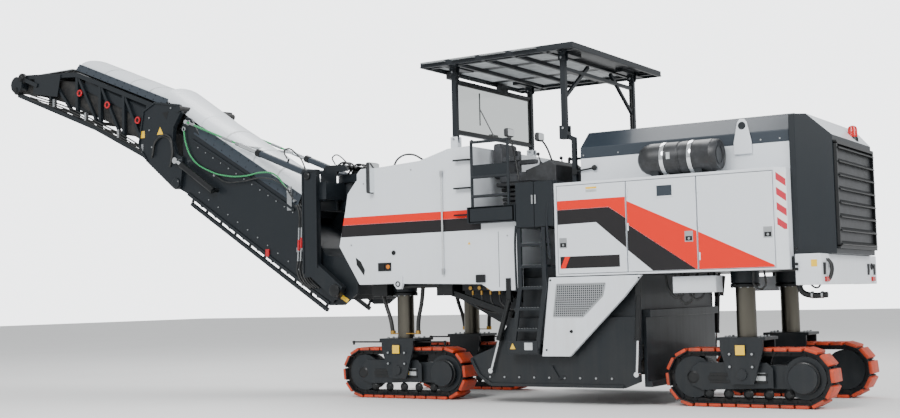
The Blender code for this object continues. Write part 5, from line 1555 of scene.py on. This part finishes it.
def fold_plate_details():
    """Holes drawn as black films of painted shade, blank warning plates, boss rings and bolts on the big
    hinge plates.
    """
    for side, sign in SIDES.items():
        y = sign * FOLD_SIDE
        # the hole is painted shade: a black film on the plate
        film(f"{side}_fold_hole_painted_shade", "upper_conveyor", [(-8.60, 3.93), (-8.47, 3.94), (-8.51, 3.82)], BLACK, y)
        film(
            f"{side}_fold_warning", "upper_conveyor", [(-8.70, 3.62), (-8.58, 3.62), (-8.64, 3.73)], YELLOW, y
        )
        film(f"{side}_fold_plate", "upper_conveyor", box_outline(-9.03, -8.95, 3.60, 3.70), YELLOW, y)
        bosses = bmesh.new()
        turned(
            bosses, at(-8.33, y, 2.90), at(-8.33, y + sign * 0.03, 2.90),
            [(0, 0), (0, 0.075), (0.6, 0.072), (1, 0.055), (1, 0)], 28
        )
        rim = [(-8.27, 4.00), (-8.74, 4.085), (-8.965, 3.985), (-9.06, 3.50), (-8.89, 3.25)]
        flat_edge(bosses, rim, y + sign * 0.008, 0.024, 0.016)
        inner = [(-8.235, 3.90), (-8.375, 3.70), (-8.395, 3.50), (-8.38, 3.43)]
        flat_edge(bosses, inner, y + sign * 0.008, 0.024, 0.016)
        made_piece(bosses, f"{side}_fold_rims", "upper_conveyor", CHARCOAL, 0.003)
        bolts = bmesh.new()
        bolt_heads(
            bolts, [at(x, y, z) for x, z in ((-8.85, 3.88), (-8.85, 3.70), (-8.80, 3.45), (-8.42, 3.98))],
            (0, sign, 0), 0.014, 0.012
        )
        made_piece(bolts, f"{side}_fold_bolts", "upper_conveyor", ZINC)


fold_plate_details()


def lower_conveyor_details():
    """Ribs and bolts of the side plates, the return rollers and the plate at the foot."""
    for side, sign in SIDES.items():
        y = sign * CONVEYOR_SIDE
        ribs, bolts = bmesh.new(), bmesh.new()
        top = [(-8.06, 3.50), (-7.0, 2.88), (-6.22, 2.40)]
        foot = [(-8.14, 2.74), (-6.90, 1.945), (-5.66, 1.155)]
        flat_edge(ribs, top, y + sign * 0.010, 0.035, 0.020)
        flat_edge(ribs, foot, y + sign * 0.010, 0.045, 0.020)
        made_piece(ribs, f"{side}_lower_plate_ribs", "lower_conveyor", CHARCOAL, 0.004)
        heads = []
        for i in range(13):
            share = (i + 0.5) / 13
            heads.append(at(-8.02 + 1.84 * share, y, 3.42 - 1.09 * share))
            heads.append(at(-8.02 + 2.30 * share, y, 2.80 - 1.47 * share))
        bolt_heads(bolts, heads, (0, sign, 0), 0.010, 0.008)
        made_piece(bolts, f"{side}_lower_plate_bolts", "lower_conveyor", ZINC)
        door = bmesh.new()
        side_sheet(
            door, [(-6.10, 1.62), (-5.86, 1.47), (-5.55, 1.20), (-5.58, 1.16), (-5.92, 1.36), (-6.14, 1.50)],
            y, sign * 0.03
        )
        made_piece(door, f"{side}_foot_cover", "lower_conveyor", CHARCOAL, 0.005)
        film(
            f"{side}_foot_plate", "lower_conveyor",
            [(-5.48, 1.22), (-5.38, 1.16), (-5.34, 1.20), (-5.44, 1.26)], YELLOW, y
        )
    rollers = bmesh.new()
    for i in range(9):
        share = (i + 0.5) / 9
        x, z = -8.05 + 2.30 * share, 2.62 - 1.47 * share + 0.02
        for sign in (-1, 1):
            spindle(rollers, at(x, sign * 0.40, z), at(x, sign * 0.47, z), 0.022, 12)
        spindle(rollers, at(x, -0.40, z), at(x, 0.40, z), 0.036, 16)
    made_piece(rollers, "return_rollers", "lower_conveyor", FORGED)
    rails = bmesh.new()
    for sign in (-1, 1):
        beam(rails, at(-8.12, sign * 0.46, 2.60), at(-5.72, sign * 0.46, 1.07), 0.05, 0.045)
        for i in range(10):
            share = i / 9
            x, z = -8.10 + 2.36 * share, 2.62 - 1.505 * share
            beam(rails, at(x, sign * 0.46, z), at(x + 0.06, sign * 0.46, z + 0.13), 0.03, 0.03)
    made_piece(rails, "lower_conveyor_rails", "lower_conveyor", CHARCOAL, 0.003)


lower_conveyor_details()

# ------------------------------------------------------------------- mast, head box, hoses and red couplings


def mast_details():
    """Head box, clevises, stiffeners and the banks of hydraulic couplings on the mast."""
    face = -0.545  # the side plane on which the couplings sit
    box_piece = bmesh.new()
    for sign in (-1, 1):
        outline = [
            (-5.93, 2.38), (-5.93, 2.86), (-5.84, 2.98), (-5.52, 2.97), (-5.46, 2.88), (-5.66, 2.88),
            (-5.66, 2.38)
        ]
        side_sheet(box_piece, outline, sign * 0.30, sign * 0.012)
    block(box_piece, at(-5.85, -0.305, 2.955), at(-5.51, 0.305, 2.967))
    block(box_piece, at(-5.93, -0.305, 2.38), at(-5.915, 0.305, 2.50))
    made_piece(box_piece, "mast_head_cheeks", "mast", CHARCOAL, 0.006)
    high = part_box("slewing_mast")[1]
    plates, pins = bmesh.new(), bmesh.new()
    for sign in (-1, 1):
        y = sign * high.y
        rim = [(-5.95, 1.55), (-5.95, 2.88), (-5.73, 2.88), (-5.73, 1.62)]
        flat_edge(plates, rim, y + sign * 0.006, 0.022, 0.012)
        turned(
            pins, at(-5.87, y - sign * 0.01, 2.82), at(-5.87, y + sign * 0.03, 2.82),
            [(0, 0), (0, 0.055), (0.7, 0.05), (1, 0.03), (1, 0)], 24
        )
        turned(
            pins, at(-5.45, y - sign * 0.01, 1.32), at(-5.45, y + sign * 0.03, 1.32),
            [(0, 0), (0, 0.085), (0.7, 0.08), (1, 0.05), (1, 0)], 28
        )
    made_piece(plates, "mast_flanges", "mast", CHARCOAL, 0.003)
    made_piece(pins, "mast_pins", "mast", BLACK, 0.002)
    couplings, sleeves = bmesh.new(), bmesh.new()
    for i in range(5):
        x = -6.13 + 0.045 * i
        spindle(
            couplings, at(x, face, 1.86 + 0.03 * (i % 2)), at(x + 0.01, face, 2.00 + 0.03 * (i % 2)), 0.017,
            12
        )
        spindle(sleeves, at(x + 0.01, face, 2.00), at(x + 0.016, face, 2.16), 0.013, 12)
        spindle(sleeves, at(x - 0.01, face, 1.72), at(x, face, 1.86), 0.013, 12)
        points = [
            at(x - 0.01, face, 1.73), at(x - 0.02, -0.55, 1.58), at(x + 0.06, -0.56, 1.44),
            at(x + 0.16, -0.55, 1.36)
        ]
        hose(f"coupling_hose_{i}", "lower_conveyor", points, 0.011)
        points = [
            at(x + 0.016, face, 2.15), at(x + 0.03, -0.55, 2.30), at(x, -0.55, 2.42),
            at(x - 0.06, -0.53, 2.46)
        ]
        hose(f"coupling_lead_{i}", "lower_conveyor", points, 0.011)
    block(sleeves, at(-6.17, -0.535, 1.84), at(-5.90, -0.50, 1.90))
    made_piece(couplings, "hose_couplings", "lower_conveyor", RED_METAL, 0.002)
    made_piece(sleeves, "hose_sleeves", "lower_conveyor", ZINC)
    tag = bmesh.new()
    block(tag, at(-6.72, -0.525, 1.80), at(-6.66, -0.50, 1.90))
    made_piece(tag, "emergency_pull", "lower_conveyor", RED_METAL, 0.006)
    for i, y in enumerate((-0.20, -0.12, 0.12, 0.20)):
        hose(
            f"mast_hose_{i}", "mast",
            [at(-5.80, y, 2.88), at(-5.68, y, 3.00), at(-5.56, y, 3.00), at(-5.48, y, 2.93)], 0.014
        )


mast_details()


def bracket_details():
    """Bolts, hoses and the cable where the slewing bracket meets the hull."""
    bolts = bmesh.new()
    for x in (-5.12, -4.95, -4.78):
        for z in (2.46, 2.78):
            for sign in (-1, 1):
                bolt_heads(bolts, [at(x, sign * 0.28, z)], (0, sign, 0), 0.016, 0.014)
    made_piece(bolts, "slew_bracket_bolts", "chassis", ZINC)
    hose(
        "hull_cable", "chassis",
        [at(-4.30, -0.95, 2.785), at(-4.20, -0.96, 2.90), at(-4.02, -0.95, 2.93), at(-3.86, -0.92, 2.85)],
        0.012
    )
    cap = bmesh.new()
    turned(
        cap, at(-3.80, -0.90, 2.81), at(-3.80, -0.90, 2.87),
        [(0, 0), (0, 0.05), (0.7, 0.045), (1, 0.03), (1, 0)], 20
    )
    for i in range(3):
        spindle(cap, at(-3.70 + 0.05 * i, -0.80, 2.80), at(-3.70 + 0.05 * i, -0.80, 2.865), 0.015, 12)
    made_piece(cap, "hull_top_fittings", "chassis", BRASS)
    cheeks = bmesh.new()
    for sign in (-1, 1):
        block(cheeks, at(-5.02, sign * 0.40, 2.30), at(-4.62, sign * 0.56, 2.36))
    made_piece(cheeks, "bracket_gussets", "chassis", CHARCOAL, 0.006)


bracket_details()


def stay_place(share, y):
    return at(-5.87 - 2.29 * share, y, 2.82 + 0.94 * share)


def lift_details():
    """Shackles, turnbuckles and gland nuts on the lift cylinders, and their hoses."""
    stay_side = 0.52  # the cylinders' middle lines, either side of the middle plane
    glands, shackles = bmesh.new(), bmesh.new()
    for sign in (-1, 1):
        y = sign * stay_side
        for start, end, bore, rim in ((0.395, 0.425, 0.029, 0.052), (0.05, 0.075, 0.040, 0.050)):
            profile = [(0, bore), (0, rim), (1, rim), (1, bore), (0, bore)]
            turned(glands, stay_place(start, y), stay_place(end, y), profile, 24)
        for start, end, radius in ((0.545, 0.59, 0.026), (0.62, 0.70, 0.020), (0.93, 0.965, 0.020)):
            spindle(shackles, stay_place(start, y), stay_place(end, y), radius, 12)
        ring(shackles, stay_place(0.98, y), (0, 1, 0), 0.030, 0.009)
        spindle(
            glands, stay_place(0.20, y) + Vector((0.02, 0, 0.04)),
            stay_place(0.20, y) + Vector((0.035, 0, 0.08)), 0.014, 8
        )
    made_piece(glands, "lift_glands", "lift_cylinders", BLACK, 0.003)
    made_piece(shackles, "lift_shackles", "lift_rods", ZINC, 0.002)
    for sign in (-1, 1):
        y = sign * stay_side
        points = [
            stay_place(0.21, y) + Vector((0.03, 0, 0.075)), stay_place(0.24, y) + Vector((0.06, 0, 0.16)),
            stay_place(0.12, y) + Vector((0.03, 0, 0.17)), stay_place(0.06, y) + Vector((0, 0, 0.05))
        ]
        hose(f"lift_hose_{'left' if sign < 0 else 'right'}", "lift_cylinders", points, 0.010)


lift_details()

# ----------------------------------------------------------- legs, tracks, under the machine


def leg_details():
    """Collars, yoke bolts and blank plates of each leg and track."""
    for axle in ("front", "rear"):
        for side, sign in SIDES.items():
            tube_low, tube_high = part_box(f"{axle}_{side}_leg_tube")
            x, y = (tube_low.x + tube_high.x) / 2, (tube_low.y + tube_high.y) / 2
            radius = (tube_high.x - tube_low.x) / 2
            body = f"{axle}_{side}_track"
            collar = bmesh.new()
            turned(
                collar, (x, y, 1.235), (x, y, 1.285),
                [
                    (0, radius + 0.004), (0, radius + 0.05), (0.6, radius + 0.05), (1.0, radius + 0.03),
                    (1.0, radius + 0.004), (0, radius + 0.004)
                ],
                40
            )
            made_piece(collar, f"{axle}_{side}_guide_collar", "chassis", BLACK, 0.003)
            bolts = bmesh.new()
            ring_radius = radius + 0.038
            spots = [(x + ring_radius * c, y + ring_radius * s, 1.235) for c, s in round_the_clock(12)]
            bolt_heads(bolts, spots, (0, 0, -1), 0.010, 0.008)
            made_piece(bolts, f"{axle}_{side}_collar_bolts", "chassis", ZINC)
            low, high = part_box(f"{axle}_{side}_track_frame")
            out = high.y if sign > 0 else low.y
            yoke = bmesh.new()
            bolt_heads(
                yoke, [(x + dx, y + dy, 0.72) for dx in (-0.19, 0.19) for dy in (-0.11, 0, 0.11)], (0, 0, 1),
                0.014, 0.016
            )
            bolt_heads(
                yoke, [(x + dx, out, z) for dx in (-0.12, 0.12) for z in (0.42, 0.55)], (0, sign, 0), 0.013,
                0.010
            )
            made_piece(yoke, f"{axle}_{side}_yoke_bolts", body, ZINC)
            plate = bmesh.new()
            block(plate, (x - 0.055, out, 0.54), (x + 0.045, out + sign * 0.004, 0.64))
            made_piece(plate, f"{axle}_{side}_yoke_plate", body, YELLOW, 0.001)


leg_details()


def track_sides():
    """The side plates of the track frames with their slots drawn as black films of painted shade, the blank
    labels and step rails.
    """
    for axle in ("front", "rear"):
        for side, sign in SIDES.items():
            low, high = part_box(f"{axle}_{side}_shoes")
            body = f"{axle}_{side}_track"
            mid_y, half = (low.y + high.y) / 2, (high.y - low.y) / 2
            x0 = low.x + WHEEL_Z
            y = mid_y + sign * (half - 0.030)
            plate = bmesh.new()
            outline = [
                (x0 - 0.02, 0.22), (x0 - 0.02, 0.40), (x0 + 0.06, 0.46), (x0 + 0.80, 0.46), (x0 + 0.86, 0.40),
                (x0 + 0.86, 0.20), (x0 + 0.10, 0.17)
            ]
            sheet_of(plate, [Vector((px, y, pz)) for px, pz in outline], (0, sign * 0.012, 0))
            made_piece(plate, body + "_side_plate", body, CHARCOAL, 0.004)
            # the slots are painted shade: black films on the plate
            dark = bmesh.new()
            face = y + sign * 0.012
            for ax, bx, z in ((x0 + 0.16, x0 + 0.36, 0.30), (x0 + 0.48, x0 + 0.58, 0.29)):
                block(dark, (ax, face, z - 0.022), (bx, face + sign * THIN, z + 0.022))
            made_piece(dark, body + "_slots", body, BLACK)
            label, mark = bmesh.new(), bmesh.new()
            block(label, (x0 + 0.62, face, 0.275), (x0 + 0.78, face + sign * THIN, 0.355))
            block(mark, (x0 + 0.63, face, 0.285), (x0 + 0.68, face + sign * 2 * THIN, 0.345))
            made_piece(label, body + "_label", body, PALE)
            made_piece(mark, body + "_label_mark", body, YELLOW)
            if axle == "front":
                rail = bmesh.new()
                y1 = mid_y + sign * (half - 0.05)
                spindle(rail, (low.x + 0.12, y1, 0.675), (high.x - 0.28, y1, 0.675), 0.010, 10)
                for px in (low.x + 0.14, high.x - 0.30):
                    spindle(rail, (px, y1, 0.64), (px, y1, 0.69), 0.014, 10)
                made_piece(rail, body + "_pad_rail", body, BLACK)


track_sides()


def under_machine():
    """Valve bank, hoses, brackets and tubes that show below the hull and beside the drum."""
    dark, bright = bmesh.new(), bmesh.new()
    spindle(dark, at(-4.08, -1.06, 1.345), at(-3.58, -1.06, 1.345), 0.030, 16)
    block(dark, at(-4.62, -0.98, 1.23), at(-4.40, -0.66, 1.395))
    block(dark, at(-3.62, -1.08, 1.22), at(-3.40, -0.80, 1.395))
    block(dark, at(-3.30, -1.02, 1.27), at(-2.70, -0.72, 1.395))
    beam(dark, at(-3.52, -1.02, 1.28), at(-2.62, -1.02, 0.98), 0.07, 0.06)
    made_piece(dark, "under_hull_blocks", "chassis", BLACK, 0.006)
    for i in range(4):
        x = -3.18 + 0.12 * i
        spindle(bright, at(x, -1.035, 1.30), at(x, -1.02, 1.30), 0.022, 14)
        spindle(bright, at(x, -0.98, 1.22), at(x, -0.98, 1.28), 0.016, 8)
        hose(
            f"valve_hose_{i}", "chassis",
            [
                at(x, -0.98, 1.23), at(x + 0.02, -0.98, 1.12), at(x + 0.16, -0.96, 1.04),
                at(x + 0.36, -0.90, 1.00 + 0.02 * i)
            ],
            0.012
        )
    made_piece(bright, "valve_fittings", "chassis", BRASS)
    for i, (x, z) in enumerate(((-0.80, 1.22), (-0.70, 1.16), (-0.58, 1.20), (-0.46, 1.27))):
        points = [
            at(x, -0.92, 1.38), at(x + 0.04, -0.93, z), at(x + 0.14, -0.94, z - 0.08),
            at(x + 0.24, -0.92, 1.30), at(x + 0.25, -0.90, 1.39)
        ]
        hose(f"side_hose_{i}", "chassis", points, 0.013)
    for side, sign in SIDES.items():
        hose(
            f"{side}_rear_hose", "chassis",
            [
                at(0.17, sign * 0.95, 1.40), at(0.19, sign * 0.96, 1.24), at(0.27, sign * 0.95, 1.22),
                at(0.28, sign * 0.93, 1.40)
            ],
            0.011
        )


under_machine()


def side_plate_cylinders():
    """The two cylinders that raise each side plate: barrels on the machine, rods on the plate."""
    for side, sign in SIDES.items():
        y = sign * (PLATE_SIDE + 0.045)
        barrels, rods = bmesh.new(), bmesh.new()
        for head, foot in (((-2.60, 1.16), (-2.86, 0.36)), ((-1.02, 1.17), (-1.07, 0.34))):
            start, end = at(head[0], y, head[1]), at(foot[0], y, foot[1])
            spindle(barrels, start, start.lerp(end, 0.55), 0.032, 20)
            spindle(barrels, start.lerp(end, 0.53), start.lerp(end, 0.57), 0.037, 20)
            spindle(rods, start.lerp(end, 0.50), end, 0.015, 16)
            spindle(rods, end - Vector((0, sign * 0.04, 0)), end + Vector((0, sign * 0.02, 0)), 0.028, 16)
            block(
                barrels, start - Vector((0.03, sign * 0.033, 0.03)),
                Vector((start.x + 0.03, start.y + sign * 0.02, 1.40))
            )
        made_piece(barrels, f"{side}_plate_cylinders", "chassis", BLACK, 0.002)
        made_piece(rods, f"{side}_plate_rods", f"{side}_side_plate", CHROME)
        low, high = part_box(f"{side}_side_plate_skid")
        skid, bolts = bmesh.new(), bmesh.new()
        face = high.y if sign > 0 else low.y
        line = [(-3.14, 0.49), (-3.04, 0.31), (-2.89, 0.205), (-1.24, 0.205)]
        flat_edge(skid, line, face + sign * 0.010, 0.035, 0.020)
        beam(skid, at(-2.1, face + sign * 0.012, 0.42), at(-2.02, face + sign * 0.012, 0.28), 0.02, 0.02)
        beam(skid, at(-2.02, face + sign * 0.012, 0.28), at(-1.95, face + sign * 0.012, 0.30), 0.02, 0.02)
        made_piece(skid, f"{side}_skid_shoe", f"{side}_side_plate", CHARCOAL, 0.003)
        bolt_heads(bolts, [at(-2.9 + 0.19 * i, face, 0.29) for i in range(9)], (0, sign, 0), 0.012, 0.010)
        made_piece(bolts, f"{side}_skid_bolts", f"{side}_side_plate", ZINC)
    shock = bmesh.new()
    spindle(shock, at(-0.273, -0.62, 1.36), at(-0.302, -0.62, 1.15), 0.022, 16)
    made_piece(shock, "scraper_spring_barrel", "chassis", BLACK)


side_plate_cylinders()


def drum_picks():
    """Carbide-tipped picks in the holders of the milling drum."""
    low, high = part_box("milling_drum_body")
    centre = (low + high) / 2
    reach = 0.51
    picks = bmesh.new()
    half = high.y
    rows = 14
    for side in (-1, 1):
        for i in range(rows):
            y = side * (0.05 + (half - 0.10) * i / (rows - 1))
            for first in (0, 180):
                turn = math.radians(first + side * i * 38)
                out = Vector((math.cos(turn), 0, math.sin(turn)))
                lead = Vector((-out.z, 0, out.x))
                foot = Vector((centre.x, y, centre.z)) + out * (reach - 0.03)
                spindle(picks, foot, foot + (out * 0.6 + lead * 0.8) * 0.05, 0.020, 10, 0.006)
    made_piece(picks, "drum_picks", "milling_drum", ZINC)


drum_picks()

# ----------------------------------------------------------------------------- ropes and hoses


def free_line(name, body, points, radius, material):
    """A rope or hose that hangs between two fittings on one body, on a curve through given points."""
    line = hose(name, body, points, radius, material)
    return line


def rope_fittings():
    """Shackles where the slack rope and the hose beside it are made fast."""
    bm = bmesh.new()
    for x, z in ((-8.20, 3.66), (-6.30, 2.66)):
        ring(bm, at(x, -0.527, z), (0, 1, 0), 0.026, 0.008)
        spindle(bm, at(x, -0.50, z + 0.026), at(x, -0.54, z + 0.026), 0.012, 10)
    for x, z in ((-7.62, 2.96), (-6.20, 2.52)):
        spindle(bm, at(x, -0.50, z), at(x, -0.545, z), 0.016, 8)
    block(bm, at(-6.34, -0.515, 2.40), at(-6.26, -0.50, 2.72))
    return made_piece(bm, "rope_fittings", "lower_conveyor", ZINC, 0.001)


rope_fittings()
ROPE_ROUTE = [
    (-8.195, 3.635), (-8.165, 3.47), (-8.03, 3.22), (-7.74, 3.04), (-7.38, 2.935), (-7.03, 2.915),
    (-6.78, 2.94), (-6.54, 2.90), (-6.33, 2.69)
]
free_line(
    "slack_rope", "lower_conveyor", [at(x, -0.528, z) for x, z in ROPE_ROUTE], 0.011, ROPE,
)
HOSE_ROUTE = [(-7.60, 2.955), (-7.42, 2.86), (-7.10, 2.84), (-6.70, 2.86), (-6.38, 2.74), (-6.21, 2.535)]
free_line(
    "conveyor_hose", "lower_conveyor",
    [at(x, y, z) for (x, z), y in zip(HOSE_ROUTE, (-0.528, -0.545, -0.55, -0.55, -0.545, -0.528))], 0.009,
    HOSE
)


def bent_hose(name, upper, lower, points, radius):
    """A hose whose ends ride on two bodies that one joint joins, and that bends between them."""
    piece = hose_mesh(name, points, radius)
    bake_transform(piece, upper, lower, points[0], points[-1])
    return piece


for side, sign in SIDES.items():
    for name, route in (
        ("fore", [(-4.59, 1.38), (-4.53, 1.14), (-4.46, 0.94), (-4.43, 0.78)]),
        ("aft", [(-3.97, 1.38), (-4.00, 1.15), (-4.05, 0.94), (-4.06, 0.78)])
    ):
        points = [at(x, sign * 0.83, z) for x, z in route]
        bent_hose(f"front_{side}_{name}_hose", "chassis", f"front_{side}_leg", points, 0.026)
        cuff = bmesh.new()
        low = points[-1]
        spindle(cuff, low - Vector((0, 0, 0.015)), low + Vector((0, 0, 0.03)), 0.034, 16)
        block(
            cuff, low - Vector((0, 0.02, 0.012)),
            Vector((middle(f"front_{side}_leg_tube").x, low.y + 0.02, low.z))
        )
        made_piece(cuff, f"front_{side}_{name}_cuff", f"front_{side}_leg", BRASS, 0.002)


def bridge_cover():
    """The rubberised cloth that closes the gap between the covers of the two conveyors."""
    line = [(-8.66, 4.03), (-8.40, 3.86), (-8.16, 3.70), (-7.95, 3.56)]
    piece = swept_sheet("bridge_cover", "lower_conveyor", line, crown(0.43, 0.12, 0.20), WHITE, 0.004)
    piece.parent = None
    del piece["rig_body"]
    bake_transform(piece, "lower_conveyor", "upper_conveyor", at(-8.0, 0, 3.6), at(-8.6, 0, 4.0))


bridge_cover()

# ------------------------------------------------------------------------------------ the end

low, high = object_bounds()
